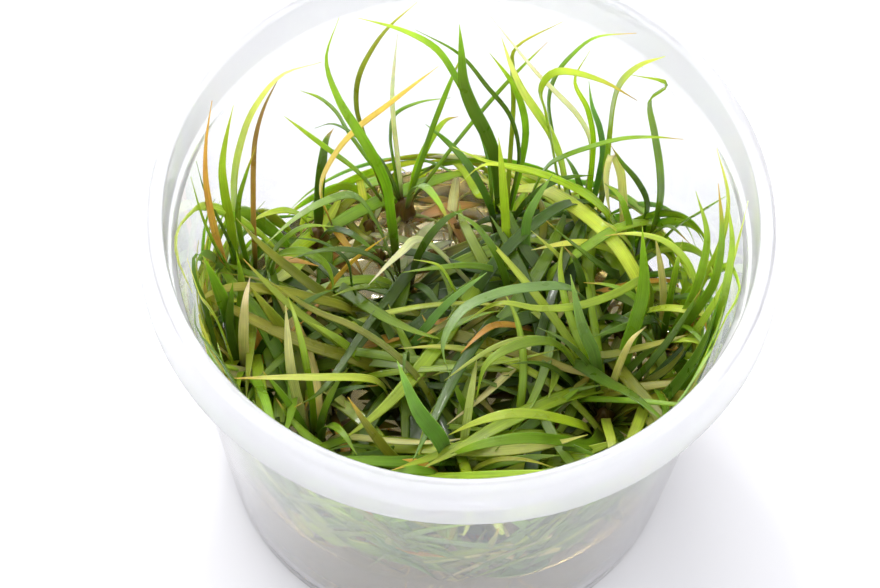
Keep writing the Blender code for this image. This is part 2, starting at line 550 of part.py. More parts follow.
def build_gel(collection, cutters):
    finish = material("amber culture gel", (0.85, 0.72, 0.45), 0.1, 0.9, 1.34)
    floor = FOOT_RECESS + WALL + GAP
    heel = HEEL_HEIGHT + GEL_HEEL
    profile = [
        (0.0, GEL_TOP),
        (float(inner_radius(GEL_TOP)) - GAP, GEL_TOP),
        (float(inner_radius(heel)) - GAP, heel),
        (BASE_RADIUS - WALL - HEEL_WIDTH - GAP, floor),
        (0.0, floor),
    ]
    gel = turned("culture_gel", profile, CUP_SIDES, finish, collection)
    depth = ROOT_DEPTH + 2.0
    for crown, (x, y) in CROWNS.items():
        bpy.ops.mesh.primitive_cylinder_add(
            vertices=POCKET_SIDES,
            radius=POCKET_RADIUS * MM,
            depth=depth * MM,
            location=(x * MM, y * MM, (GEL_TOP - 0.5 * ROOT_DEPTH) * MM),
        )
        cutter = bpy.context.object
        cutter.name = f"pocket_{crown}"
        cutter.hide_render = True
        cutter.display_type = "WIRE"
        for owner in cutter.users_collection:
            owner.objects.unlink(cutter)
        cutters.objects.link(cutter)
    cut = gel.modifiers.new("root pockets", "BOOLEAN")
    cut.operation = "DIFFERENCE"
    cut.operand_type = "COLLECTION"
    cut.collection = cutters
    cut.solver = "EXACT"
    return gel


def build_leaf(name, tint, width, line, finishes, collection):
    vertices, faces = blade_mesh(line, width)
    return mesh_object(name, vertices, faces, [], finishes[tint], collection)


def build_plantlet(crown, leaves, finishes, collection, scene):
    """A crown with its roots, and its lesser leaves joined to it by a Boolean union."""
    plantlet = turned(crown, crown_profile(), CROWN_SIDES, finishes["brown"], collection, CROWNS[crown])
    growth = bpy.data.collections.new(f"{crown}_leaves")
    scene.collection.children.link(growth)
    growth.hide_render = True
    for number, (tint, width, line) in enumerate(leaves):
        leaf = build_leaf(f"{crown}_leaf_{number + 1}", tint, width, line, finishes, growth)
        leaf.hide_render = True
        leaf.display_type = "WIRE"
    if leaves:
        join = plantlet.modifiers.new("grown together", "BOOLEAN")
        join.operation = "UNION"
        join.operand_type = "COLLECTION"
        join.collection = growth
        join.solver = "EXACT"
    return plantlet


def main():
    for found in list(bpy.data.objects):
        bpy.data.objects.remove(found, do_unlink=True)
    scene = bpy.context.scene
    scene.unit_settings.scale_length = 1.0
    collection = bpy.data.collections.new(PART)
    cutters = bpy.data.collections.new("cutters")
    for made in (collection, cutters):
        scene.collection.children.link(made)
    finishes = {tint: material(f"{tint} leaf", colour, 0.4) for tint, colour in TINTS.items()}
    build_cup(collection)
    build_gel(collection, cutters)
    leaves = arranged()
    for name, tint, width, line in leaves:
        if name not in CROWNS:
            build_leaf(name, tint, width, line, finishes, collection)
    for crown in CROWNS:
        own = [(tint, width, line) for name, tint, width, line in leaves if name == crown]
        build_plantlet(crown, own, finishes, collection, scene)


main()
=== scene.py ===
"""Narrow-leaved chain sword plantlets in a culture cup: fine surfaces and finishes round the fixed solids.

Lengths in the tables and in the shape functions are millimetres, as in the solids' own source, and metres in
the settings. The crowns, the leaves and the rule that moves a leaf clear of its neighbours are repeated from
there, so that each fine blade lies on its solid one.
"""

import functools
from collections import namedtuple

import bpy
import numpy as np
from bpy.props import FloatProperty, FloatVectorProperty, IntProperty, PointerProperty
from mathutils import Matrix
from mathutils.bvhtree import BVHTree


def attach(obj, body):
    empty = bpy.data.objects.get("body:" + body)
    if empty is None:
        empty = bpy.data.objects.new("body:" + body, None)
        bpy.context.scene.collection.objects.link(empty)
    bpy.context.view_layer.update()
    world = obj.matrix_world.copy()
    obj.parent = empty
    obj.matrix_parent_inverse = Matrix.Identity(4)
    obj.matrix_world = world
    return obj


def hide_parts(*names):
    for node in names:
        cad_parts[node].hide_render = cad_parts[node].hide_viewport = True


bl_info = {
    "name": "Tissue culture plantlets",
    "version": (1, 0, 0),
    "blender": (4, 5, 0),
    "location": "3D View > Sidebar > Culture cup",
    "description": "A culture cup of narrow-leaved chain sword plantlets, with its gel and its finishes",
    "category": "Object",
}

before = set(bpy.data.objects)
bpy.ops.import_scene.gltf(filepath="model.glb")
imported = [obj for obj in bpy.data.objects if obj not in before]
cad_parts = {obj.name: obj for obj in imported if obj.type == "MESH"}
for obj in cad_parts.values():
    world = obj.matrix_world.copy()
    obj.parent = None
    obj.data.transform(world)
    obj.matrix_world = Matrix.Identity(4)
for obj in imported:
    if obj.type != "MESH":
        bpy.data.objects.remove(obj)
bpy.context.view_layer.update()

MM = 0.001

# The cup, as in the solids
CUP_HEIGHT = 65.0
WALL = 0.9
BASE_RADIUS = 33.0
FOOT_RECESS = 0.8
FOOT_CHAMFER = 0.9
FOOT_WIDTH = 1.7
HEEL_WIDTH = 1.4
HEEL_HEIGHT = 3.2
STEP_RADIUS = 38.4
STEP_DROP = 8.0
STEP_WIDTH = 1.0
STEP_SLOPE = 0.6
RIM_RADIUS = 41.5
RIM_FLARE = 2.0
RIM_WALL = 1.3
RIM_ROUND = 0.4
SKIRT_RADIUS = 43.5
SKIRT_DROP = 7.0

# The gel and the crowns that stand in it
GEL_TOP = 20.0
GAP = 0.3
CROWN_RADIUS = 2.0
CROWN_HEIGHT = 4.6
CROWN_SIDES = 6

# The solid leaves
BLADE_THICKNESS = 0.5
LEAST_WIDTH = 0.35
BLADE_PIECES = 8
TUFT_PIECES = 6
LEAF_START = 3.0
TUFT_START = 0.7
OVER_GEL = 0.3
SIDEWAYS_REACH = 8.0
CURVE_STEPS = 17
SECTION = ((1.0, -0.6), (0.0, 1.0), (-1.0, -0.6))

# A solid leaf's width: its share at the foot, how fast it widens from there, and where and by what power it
# is drawn out to the tip
BLADE_FOOT = 0.6
WIDENING = 2.0
TAPER_FROM = 0.5
TAPER_POWER = 1.7

# The young leaves of a crown: how many, the angle between them and how far it scatters, and their ranges of
# widths, reaches and rises
YOUNG_LEAVES = 3
YOUNG_TURN = 1.7
YOUNG_SCATTER = 0.3
YOUNG_WIDTH = (0.8, 1.3)
YOUNG_REACH = (7.0, 17.0)
YOUNG_RISE = (8.0, 20.0)

# The marks along a young leaf that its points are at, the power by which it bends out, and its highest mark
YOUNG_MARKS = (0.3, 0.65, 1.0)
YOUNG_BEND = 1.3
YOUNG_PEAK = 0.8

# How often a leaf is moved before it is given up, the seed of its moves, and those of the other draws
TRIES = 260
SEED = 16
LOOKS_SEED = SEED + 1
FILL_SEED = SEED + 2
LONG_SEED = SEED + 3
TUFT_SEED = SEED + 4
DAUGHTER_SEED = SEED + 5
PRESSED_SEED = SEED + 6
FALLEN_SEED = SEED + 7

# Base colour and tip colour of each kind of leaf
TINTS = {
    "bright": ((0.19, 0.28, 0.008), (0.28, 0.36, 0.028)),
    "green": ((0.104, 0.185, 0.0064), (0.18, 0.27, 0.0144)),
    "dark": ((0.04, 0.08, 0.0048), (0.088, 0.152, 0.0096)),
    "teal": ((0.088, 0.192, 0.028), (0.16, 0.288, 0.052)),
    "sage": ((0.144, 0.232, 0.048), (0.224, 0.312, 0.08)),
    "olive": ((0.144, 0.16, 0.0096), (0.24, 0.224, 0.024)),
    "lime": ((0.296, 0.384, 0.032), (0.416, 0.464, 0.088)),
    "pale": ((0.48, 0.528, 0.208), (0.56, 0.56, 0.288)),
    "yellow": ((0.512, 0.48, 0.152), (0.576, 0.512, 0.224)),
    "orange": ((0.528, 0.304, 0.048), (0.528, 0.264, 0.04)),
    "brown": ((0.272, 0.152, 0.032), (0.176, 0.096, 0.032)),
}

# The colour of a blade's foot, the mark along the blade where it starts to fade, and the range of the mark
# where it is gone
FOOT_TINT = (0.10, 0.075, 0.012)
FOOT_FADES_FROM = 0.02
FOOT_FADES_TO = (0.14, 0.3)

# How blades differ: the ranges of their foot's brightness, and of their own brightness, red and blue
FOOT_SHADES = (0.7, 1.3)
BLADE_SHADES = (0.82, 1.18)
BLADE_REDS = (0.92, 1.1)
BLADE_BLUES = (0.8, 1.25)

# The range of the mark from which a blade turns to its tip's colour
TIP_FADES_FROM = (0.35, 0.6)

# The kinds of leaf that may have an orange tip, the share of them that has one, the range of the mark where
# it starts, and the mark where it is full
BURNT_KINDS = ("green", "dark", "bright", "lime", "olive")
BURNT_SHARE = 0.22
BURNT_FROM = (0.82, 0.93)
BURNT_TO = 0.98

# How much lighter the rib is and how wide, and how much darker the edge is and from where, in half widths
# of the blade
RIB_LIGHT = 0.22
RIB_WIDTH = 0.16
EDGE_SHADE = 0.10
EDGE_FROM = 0.75

# How much lighter a leaf is painted by the wall and at the back, as painted light where it would get more
# light, and over which distances from the middle and to the back that grows
WALL_LIGHT = 0.35
WALL_LIGHT_FROM = (12.0, 32.0)
BACK_LIGHT = 0.7
BACK_LIGHT_FROM = (4.0, 28.0)

# How much darker the blades are painted deep between the plantlets, as painted shade: below these heights,
# and within these reaches
DEEP_SHADE = 0.5
DEEP_HEIGHTS = (21.0, 37.0)
DEEP_REACHES = (20.0, 31.0)

# The kinds of the lesser leaves, and the share of each: among the young ones, among those pressed to the
# wall, and among the finer ones of a crown in the middle and of one by the wall, with the reaches of the two
LESSER_TINTS = ("green", "dark", "bright", "olive", "lime", "sage", "orange", "yellow")
LESSER_SHARES = (0.34, 0.30, 0.14, 0.08, 0.06, 0.04, 0.02, 0.02)
PRESSED_SHARES = (0.24, 0.06, 0.14, 0.15, 0.14, 0.20, 0.01, 0.06)
# The finer leaves in the middle take more dark kinds, partly their own colours and partly painted shade, and
# those by the wall more bright and lime kinds, partly painted light
DEEP_SHARES = (0.35, 0.36, 0.10, 0.12, 0.03, 0.02, 0.01, 0.01)
OUTER_SHARES = (0.30, 0.05, 0.30, 0.06, 0.23, 0.02, 0.01, 0.03)
OUTER_FROM = (12.0, 26.0)

# Where each crown stands, as x and y
CROWNS = {
    "plantlet_left": (-29.0, 8.0),
    "plantlet_left_wall": (-29.5, -6.0),
    "plantlet_middle_left": (-7.5, 11.0),
    "plantlet_front_middle": (-6.5, -4.5),
    "plantlet_front_left": (-18.5, -15.0),
    "plantlet_back": (-8.5, 25.5),
    "plantlet_back_middle": (6.0, 20.5),
    "plantlet_back_right": (18.5, 24.0),
    "plantlet_back_left": (-21.0, 19.5),
    "plantlet_right_back": (25.5, 16.5),
    "plantlet_middle": (8.5, 7.5),
    "plantlet_middle_right": (19.0, 6.5),
    "plantlet_right": (30.0, 4.5),
    "plantlet_front_right": (22.0, -7.5),
    "plantlet_front": (1.5, -21.0),
}

# Name, crown, width, tint, and the points that the leaf passes after it leaves the crown, the tip last
LEAVES = [
    ("orange_leaf_left", "plantlet_left", 0.9, "orange",
     [(-34.5, 7, 45), (-35.5, 9.5, 57), (-35, 16, 63)]),
    ("leaf_left_1", "plantlet_left", 1.1, "bright",
     [(-32.5, 10, 40), (-33.5, 12, 53), (-32, 16, 62)]),
    ("leaf_left_2", "plantlet_left", 1.2, "lime",
     [(-32, 12.5, 46), (-30, 16, 58), (-26.5, 20, 63), (-20.5, 24, 62)]),
    ("brown_leaf_left", "plantlet_left", 0.7, "brown",
     [(-29.5, 13, 41), (-29, 17, 55), (-26, 21.5, 62)]),
    ("leaf_left_3", "plantlet_left", 1.2, "green",
     [(-26, 7.5, 36), (-21, 7, 39), (-18, 6, 35), (-18, 4.5, 30)]),
    ("hooked_leaf_left", "plantlet_left_wall", 0.7, "dark",
     [(-34.5, -7, 48), (-36, -6.5, 57), (-35, -3.5, 55), (-33.5, -3, 52)]),
    ("leaf_left_wall", "plantlet_left_wall", 1.7, "green",
     [(-31.5, -2.5, 34), (-33, -2.5, 44), (-35, -1, 50)]),
    ("orange_leaf_low", "plantlet_left_wall", 2.4, "orange",
     [(-26.5, -2, 26), (-30, -0.5, 30)]),
    ("leaf_middle_1", "plantlet_middle_left", 1.7, "olive",
     [(-16, 4.5, 29), (-26.5, 7, 38), (-31.5, 8.5, 45)]),
    ("leaf_middle_2", "plantlet_middle_left", 1.3, "green",
     [(-10, 16.5, 32), (-11.5, 18.5, 42), (-16.5, 21, 53), (-19.5, 23, 59), (-20, 26.5, 62),
      (-18.5, 29.5, 65)]),
    ("orange_leaf_middle", "plantlet_middle_left", 0.7, "orange",
     [(-18.5, 5.5, 29), (-15.5, 8, 35), (-10.5, 10.5, 39)]),
    ("leaf_front_left_1", "plantlet_front_middle", 1.1, "bright",
     [(-16, -3.5, 32), (-24, -0.5, 38), (-30, 2.5, 44)]),
    ("leaf_front_left_2", "plantlet_front_middle", 1.2, "lime",
     [(-11, -10, 34), (-19.5, -13.5, 40), (-30.5, -16, 43)]),
    ("leaf_middle_3", "plantlet_front_middle", 1.2, "teal",
     [(-6, -2.5, 30), (-1.5, 1.5, 36), (4, 5, 40)]),
    ("yellow_leaf_front", "plantlet_front_left", 1.2, "yellow",
     [(-21, -13.5, 30), (-22.5, -10.5, 38), (-23.5, -4.5, 44)]),
    ("leaf_back_1", "plantlet_back", 0.7, "olive",
     [(-15.5, 28, 42), (-16, 29, 49), (-14, 30, 57), (-11.5, 31.5, 61), (-8, 33.5, 64)]),
    ("leaf_back_2", "plantlet_back_middle", 1.1, "green",
     [(3, 26.5, 38), (-1.5, 29, 51), (-5.5, 30.5, 58), (-11, 30.5, 62), (-16, 31, 63)]),
    ("leaf_back_3", "plantlet_back_middle", 1.7, "dark",
     [(4, 26, 38), (-0.5, 28, 50), (-1.5, 30, 57), (-2, 31.5, 62)]),
    ("leaf_back_4", "plantlet_back", 0.8, "bright",
     [(-15.5, 26.5, 30), (-20.5, 25, 39), (-26, 24.5, 47)]),
    ("orange_leaf_back", "plantlet_back_left", 0.8, "orange",
     [(-20.5, 20, 36), (-17, 22.5, 45), (-11, 24.5, 52), (-4.5, 26.5, 59)]),
    ("leaf_back_right_1", "plantlet_back_right", 0.9, "pale",
     [(17.5, 29, 40), (9, 30, 54), (2, 33, 63)]),
    ("leaf_back_right_2", "plantlet_back_right", 1.1, "lime",
     [(13, 28, 38), (7, 29.5, 51), (4, 32, 59)]),
    ("leaf_back_right_3", "plantlet_back_right", 0.7, "green",
     [(11.5, 31, 44), (14, 31, 57), (17.5, 31, 62), (22.5, 30.5, 64)]),
    ("leaf_back_right_4", "plantlet_back_right", 1.1, "bright",
     [(11, 29, 42), (9.5, 29.5, 49), (11.5, 29, 55), (16.5, 28.5, 55), (23, 27, 52)]),
    ("leaf_back_right_5", "plantlet_back_right", 1.9, "bright",
     [(20.5, 26.5, 40), (20.5, 28, 50), (22, 28, 58), (27, 27.5, 64)]),
    ("folded_leaf_right", "plantlet_right_back", 1.3, "green",
     [(28, 20, 41), (25, 25, 57), (27.5, 25, 59), (26, 25.5, 61), (22, 25, 62)]),
    ("yellow_leaf_hanging", "plantlet_right_back", 1.1, "yellow",
     [(22.5, 23.5, 38), (20.5, 23.5, 44), (20.5, 22, 38), (21.5, 20.5, 32)]),
    ("leaf_right_1", "plantlet_back_middle", 0.9, "green",
     [(11.5, 25, 36), (16, 23.5, 44), (23, 22.5, 50), (30, 19.5, 55)]),
    ("leaf_right_2", "plantlet_right_back", 0.9, "bright",
     [(20, 23, 31), (12.5, 22.5, 38), (3.5, 22, 42), (-2, 23, 44)]),
    ("leaf_right_3", "plantlet_right_back", 1.2, "bright",
     [(21.5, 20, 32), (13.5, 21.5, 39), (3.5, 21, 43), (-0.5, 19.5, 40)]),
    ("leaf_right_4", "plantlet_right", 1.1, "lime",
     [(36, -2.5, 52), (37.5, 1.5, 60), (39.5, 4, 65)]),
    ("leaf_right_5", "plantlet_right", 0.9, "lime",
     [(34, 2.5, 35), (32.5, 6.5, 42), (27, 9, 46), (20, 8, 47)]),
    ("leaf_right_wall_1", "plantlet_front_right", 1.3, "green",
     [(33, -8, 37), (35.5, -7, 54), (36.5, 0, 60), (35.5, 6, 62)]),
    ("leaf_right_wall_2", "plantlet_front_right", 1.9, "dark",
     [(30, -8, 30), (34, -7.5, 44), (35.5, -5, 56)]),
    ("leaf_front_right_1", "plantlet_front_right", 0.8, "lime",
     [(17, -3.5, 32), (12, -4, 38), (5.5, -7, 40), (-1, -11, 37)]),
    ("leaf_front_right_2", "plantlet_front_right", 1.6, "sage",
     [(20, -4, 33), (17.5, -2.5, 40), (15.5, 2, 46)]),
    ("leaf_front_right_3", "plantlet_front_right", 1.7, "green",
     [(24.5, -1.5, 33), (26, 3, 41), (25, 8, 50)]),
    ("leaf_front_1", "plantlet_middle_right", 1.6, "sage",
     [(17.5, 5, 36), (8.5, 1.5, 42), (1, -3.5, 44), (-1.5, -8.5, 43), (0, -11.5, 38)]),
    ("leaf_front_2", "plantlet_right", 1.1, "bright",
     [(27, 6.5, 38), (20, 1, 41), (13, -1.5, 42), (6, -1.5, 43), (1, -4, 41)]),
    ("leaf_front_3", "plantlet_front_right", 1.5, "bright",
     [(18, -15, 34), (11, -17, 40), (5.5, -18.5, 41), (0, -20, 38)]),
    ("leaf_front_4", "plantlet_front", 2.1, "teal",
     [(-0.5, -20, 34), (-4.5, -19.5, 44), (-7.5, -16, 51)]),
    ("orange_leaf_front", "plantlet_middle_right", 1.2, "orange",
     [(6, -0.5, 35), (1, -6, 36)]),
    ("pale_leaf_middle", "plantlet_middle", 1.1, "pale",
     [(-4.5, 14, 32), (-8, 9.5, 37), (-12.5, 3, 38)]),
]

# The lesser leaves, which stay one piece with their crown: crown, tint, width, and the points as above
TUFT_LEAVES = [
    ("plantlet_left", "green", 0.7, [(-32, 12, 38), (-31, 14, 46), (-29.5, 15.5, 52)]),
    ("plantlet_left", "dark", 0.6, [(-33, 8.5, 41), (-35.5, 8, 53), (-36.5, 9, 59)]),
    ("plantlet_left", "green", 0.6, [(-34, 5.5, 41), (-36, 4.5, 54), (-37, 6, 59)]),
    ("plantlet_left", "orange", 1.1, [(-25.5, 8, 33), (-22.5, 7.5, 35), (-19.5, 7.5, 34)]),
    ("plantlet_left_wall", "lime", 0.8, [(-33, -6, 40), (-35, -10, 56), (-36.5, -7, 59)]),
    ("plantlet_left_wall", "dark", 1.1, [(-31.5, -3.5, 30), (-32, -2, 36), (-31.5, 0, 43)]),
    ("plantlet_left_wall", "green", 1.3, [(-30.5, -4, 34), (-30, -0.5, 40), (-31, 2.5, 46)]),
    ("plantlet_left_wall", "yellow", 0.9, [(-32, -5, 30), (-34, -5.5, 33), (-35, -6, 35)]),
    ("plantlet_middle_left", "dark", 0.6, [(-14, 5.5, 29), (-15.5, 8, 35), (-19.5, 9.5, 38), (-24, 10, 38)]),
    ("plantlet_middle_left", "sage", 1.2, [(-13.5, 22, 30), (-20.5, 17.5, 34), (-26.5, 11, 34)]),
    ("plantlet_middle_left", "green", 1.2, [(-11, 8, 29), (-15, 5.5, 32), (-18, 4, 32)]),
    ("plantlet_front_middle", "dark", 0.9, [(-12, -2, 28), (-17, -0.5, 33), (-22.5, 0.5, 38)]),
    ("plantlet_front_middle", "dark", 1.1, [(-8.5, -3.5, 28), (-11.5, -1.5, 32), (-15, 0, 34)]),
    ("plantlet_front_middle", "bright", 1.1, [(-12, -5, 29), (-16, -4, 34), (-20.5, -3, 37)]),
    ("plantlet_front_left", "olive", 1.6, [(-22.5, -5, 32), (-25.5, -3, 38), (-29, -0.5, 42)]),
    ("plantlet_front_left", "green", 1.1, [(-22, -12.5, 28), (-24.5, -11.5, 33), (-26.5, -11, 37)]),
    ("plantlet_front_left", "dark", 1.1, [(-17.5, -12, 30), (-15, -11, 33), (-10.5, -10, 33)]),
    ("plantlet_front_left", "sage", 1.6, [(-16.5, -27.5, 33), (-21, -28, 44), (-26, -25.5, 55)]),
    ("plantlet_front_left", "green", 1.6, [(-13.5, -27, 30), (-12, -32, 36), (-14.5, -32.5, 41)]),
    ("plantlet_front_left", "sage", 1.1, [(-23, -22, 29), (-26.5, -22.5, 40), (-29, -21, 52)]),
    ("plantlet_back", "pale", 0.6, [(-10, 28, 34), (-11, 30, 46), (-10.5, 32.5, 58)]),
    ("plantlet_back", "green", 0.8, [(-16.5, 30, 33), (-20, 29.5, 43), (-24, 27, 50)]),
    ("plantlet_back", "green", 0.8, [(-5.5, 29, 36), (-3.5, 30, 46), (-1.5, 31, 55)]),
    ("plantlet_back", "green", 0.6, [(-11, 29, 38), (-8.5, 30, 43), (-2.5, 30.5, 45)]),
    ("plantlet_back", "green", 0.6, [(-0.5, 30.5, 36), (5.5, 31.5, 49), (10.5, 33, 57)]),
    ("plantlet_back_middle", "dark", 0.6, [(7.5, 28, 39), (1.5, 29.5, 52), (-3, 30.5, 58), (-8, 31, 61)]),
    ("plantlet_back_middle", "green", 0.9, [(8.5, 29.5, 38), (6, 31, 49), (2.5, 32, 55)]),
    ("plantlet_back_middle", "olive", 0.6, [(6.5, 31, 45), (6, 31, 57), (12.5, 33.5, 61)]),
    ("plantlet_back_right", "bright", 0.7, [(18, 28.5, 42), (14.5, 30.5, 53), (16.5, 32, 57)]),
    ("plantlet_back_right", "teal", 0.8, [(19.5, 28, 38), (17.5, 29, 46), (16.5, 30, 52)]),
    ("plantlet_right_back", "dark", 0.9, [(18.5, 26, 31), (11.5, 26, 37), (4, 26.5, 42), (-2.5, 26.5, 45)]),
    ("plantlet_right_back", "dark", 0.8, [(26.5, 21.5, 35), (23, 23, 41), (20.5, 23.5, 46)]),
    ("plantlet_right_back", "green", 1.1, [(30, 15.5, 37), (33, 11.5, 49), (35.5, 7.5, 60)]),
    ("plantlet_right_back", "dark", 1.6, [(22, 11.5, 31), (17, 11.5, 37), (12, 13.5, 41)]),
    ("plantlet_right_back", "lime", 0.9, [(25, 16, 30), (22.5, 16, 35), (20, 16, 38)]),
    ("plantlet_middle", "bright", 1.1, [(6.5, 16.5, 33), (5.5, 20, 41), (4.5, 22.5, 48)]),
    ("plantlet_middle", "teal", 1.2, [(9.5, 13, 30), (9.5, 16.5, 37), (12.5, 20, 43)]),
    ("plantlet_middle", "bright", 0.7, [(2, 5.5, 28), (-0.5, 5, 35), (-3, 7, 38), (-6.5, 7, 39)]),
    ("plantlet_middle_right", "green", 0.9, [(6, 10.5, 31), (-1, 8.5, 35), (-8, 6.5, 36)]),
    ("plantlet_middle_right", "lime", 0.7, [(15.5, 12, 31), (10, 13.5, 38)]),
    ("plantlet_right", "lime", 0.8, [(35.5, 5.5, 49), (36.5, 9, 58), (34, 15, 60)]),
    ("plantlet_right", "bright", 1.1, [(34, 4.5, 41), (34.5, 7.5, 51), (32.5, 11.5, 55)]),
    ("plantlet_right", "green", 1.1, [(35, 0.5, 48), (35.5, 4, 56), (34.5, 9.5, 60)]),
    ("plantlet_right", "dark", 1.1, [(28.5, 3.5, 32), (24, 0.5, 35), (19.5, -1.5, 35)]),
    ("plantlet_right", "yellow", 0.9, [(29.5, 8.5, 31), (28.5, 11, 36), (27.5, 12.5, 40)]),
    ("plantlet_front_right", "dark", 0.9, [(27.5, -3, 29), (31.5, 0.5, 35), (34.5, 4.5, 40)]),
    ("plantlet_front_right", "green", 1.3, [(15, -4, 36), (8.5, -7, 41), (4.5, -10.5, 41), (3.5, -14, 37)]),
    ("plantlet_front_right", "sage", 0.7, [(14, -8, 26), (7.5, -8.5, 31), (1, -8.5, 35), (-3, -9, 36)]),
    ("plantlet_front_right", "dark", 1.2, [(17, -4.5, 26), (11.5, -4.5, 29), (7, -6, 31)]),
    ("plantlet_front_right", "dark", 1.1, [(17, -3.5, 28), (13, -3.5, 32), (8.5, -5, 34)]),
    ("plantlet_front_right", "olive", 0.8, [(17, -7.5, 27), (14.5, -9.5, 30), (12.5, -11.5, 29)]),
    ("plantlet_front_right", "green", 1.6,
     [(20, -16.5, 31), (12.5, -18.5, 36), (5, -20.5, 37), (-0.5, -21, 33)]),
    ("plantlet_front_right", "dark", 1.1, [(24, -3, 27), (27, -1, 31), (30, 0, 34)]),
    ("plantlet_front_right", "olive", 1.1, [(26.5, -5.5, 28), (31, -3.5, 32), (33, -1.5, 36)]),
    ("plantlet_front_right", "dark", 0.9, [(24, -17, 34), (21.5, -24, 44), (21.5, -28, 52)]),
    ("plantlet_front", "green", 1.5, [(3.5, -13.5, 28), (2, -12.5, 33), (0, -9.5, 35)]),
    ("plantlet_front", "green", 1.1, [(4.5, -21, 30), (10, -21, 34), (15.5, -20.5, 35)]),
    ("plantlet_front", "orange", 1.3, [(-1, -21, 28), (-3, -21.5, 32), (-6, -22.5, 35)]),
    ("plantlet_front", "olive", 1.3, [(-7, -19, 28), (-11, -17.5, 34), (-14.5, -14.5, 38)]),
    ("plantlet_front", "dark", 0.8, [(-8.5, -17, 28), (-13, -18, 32), (-17.5, -20, 33)]),
    ("plantlet_front", "teal", 1.3, [(-2, -28, 30), (-7, -31, 32), (-10.5, -32, 36)]),
    ("plantlet_front", "olive", 1.2, [(4, -26, 28), (7, -30.5, 33), (8.5, -33, 40)]),
    ("plantlet_front", "green", 1.3, [(10, -26, 29), (18, -27.5, 34), (25, -25, 42)]),
]

# The fine leaves that lie against the front wall: crown, tint, width, and the points as above
WALL_LEAVES = [
    ("plantlet_front_left", "sage", 1.8,
     [(-18, -27, 30), (-21, -29, 36), (-25, -26.5, 46), (-27, -25.5, 55)]),
    ("plantlet_front_left", "green", 1.7,
     [(-13, -27, 27), (-12.5, -33, 34), (-12, -35, 42), (-15, -34, 52)]),
    ("plantlet_front_left", "sage", 1.2,
     [(-22, -22, 27), (-24.5, -25.5, 36), (-29, -22, 50), (-31, -20, 60)]),
    ("plantlet_front_left", "green", 1.9,
     [(-17, -25, 26), (-16.5, -31, 31), (-12.5, -34, 35), (-11, -35, 40)]),
    ("plantlet_front", "teal", 1.4, [(0, -30, 27), (-3, -34.5, 31), (-8, -34.5, 33), (-10.5, -34.5, 40)]),
    ("plantlet_front", "olive", 1.3, [(-3, -30, 24), (1, -34, 26.5), (6, -34.5, 33), (7.5, -35, 42)]),
    ("plantlet_front", "green", 1.3, [(8, -29, 25), (15, -31, 31), (21, -29, 38), (26, -26, 46)]),
    ("plantlet_front", "dark", 1.4, [(6, -29, 23), (13, -31.5, 28), (19, -29.5, 34), (21, -29, 40)]),
    ("plantlet_front_right", "dark", 0.9,
     [(22, -20, 30), (15.5, -32, 40), (20, -31.5, 50), (21.5, -31.5, 56)]),
    ("plantlet_front_right", "olive", 0.9,
     [(24, -20, 28), (17, -31.5, 37), (23, -29.5, 51), (29, -24, 55)]),
]

# The other leaves that are pressed to the wall: how many, and the ranges of their widths, of their feet's
# distance from the wall, of their way round it in radians, and of the mark along them that is highest
PRESSED_LEAVES = 240
PRESSED_WIDTH = (0.8, 2.0)
PRESSED_INSET = (0.0, 7.0)
PRESSED_SPAN = (0.25, 1.0)
PRESSED_PEAK = (0.7, 1.1)

# Their feet's height over the gel, the mark by which they are at the wall, and how far a tip may come off it
PRESSED_FOOT = 1.0
PRESSED_JOINS = 0.45
PRESSED_TIP = 1.5

# The share of them that runs to the back, and the share kept of those that end behind this y
PRESSED_BACKWARD = 0.8
PRESSED_BEHIND = 15.0
PRESSED_KEPT = 0.15

# The y where one ends, and the least and the most that it rises there
PRESSED_RISES = (
    (-36.0, 0.5, 24.0), (-10.0, 10.0, 38.0), (8.0, 8.0, 30.0), (20.0, 3.0, 9.0), (36.0, 2.0, 6.0),
)

# The old leaves that lie on the gel: how many, the reach of their feet, the ranges of their widths, lengths
# and heights over the gel, how far they may bow up, and the share of each kind
FALLEN_LEAVES = 130
FALLEN_WITHIN = 31.0
FALLEN_WIDTH = (0.8, 2.0)
FALLEN_LENGTH = (5.0, 16.0)
FALLEN_HEIGHT = (0.4, 2.0)
FALLEN_BOW = 4.0
FALLEN_TINTS = ("olive", "pale", "yellow", "orange", "brown", "sage", "green")
FALLEN_SHARES = (0.24, 0.14, 0.16, 0.12, 0.12, 0.12, 0.10)

# Gaps between the leaves through which the gel or a crown shows from the front: x, y and radius on the gel
GAPS = [
    (25.6, 7.2, 2.2), (27.2, 2.8, 2.4), (23.6, 11.7, 2.0), (20.9, 17.5, 1.8), (-12.3, -5.8, 2.2),
    (-17.1, -9.4, 2.4), (-18.5, 20.7, 2.6), (-21.8, 14.5, 2.2), (-8.1, -10.0, 2.2), (22.8, -6.3, 3.0),
    (1.9, 27.1, 2.4), (-3.4, 28.8, 2.8), (-9.0, 22.3, 2.6), (-13.1, 17.3, 2.4), (-16.8, 17.1, 2.0),
    (-0.8, 22.0, 2.2), (-5.5, 13.9, 1.8), (-24.0, 24.7, 3.0), (-28.8, 24.3, 3.0), (29.7, 19.0, 1.8),
    (-32.7, 4.4, 1.6), (7.2, -5.2, 1.6), (15.4, 5.3, 1.4), (17.4, 13.0, 1.4), (-28.0, 9.8, 1.6),
    (-15.2, 5.6, 1.4), (3.4, 12.0, 1.6), (-11.0, 24.0, 3.0), (-5.0, 24.0, 2.2),
]

# How far a leaf stays from a gap, less than nothing because it may come over the edge, and how high and in
# what steps the way from a gap to the eye is looked at
GAP_TOUCH = -0.6
GAP_HEIGHT = 34.0
GAP_STEP = 1.5

# A leaf in another's way is pushed along this slope, up and to the front, and a little at random, and its
# foot goes round its crown and up it: by at most these lengths and this angle in radians
LIFT = np.array([0.0, -0.5, 0.866])
MOST_LIFT = 7.0
LEAST_LIFT = -4.2
MOST_DRIFT = 1.2
MOST_TURN = 1.6
MOST_CLIMB = 2.0
TUFT_CLIMB = 0.8

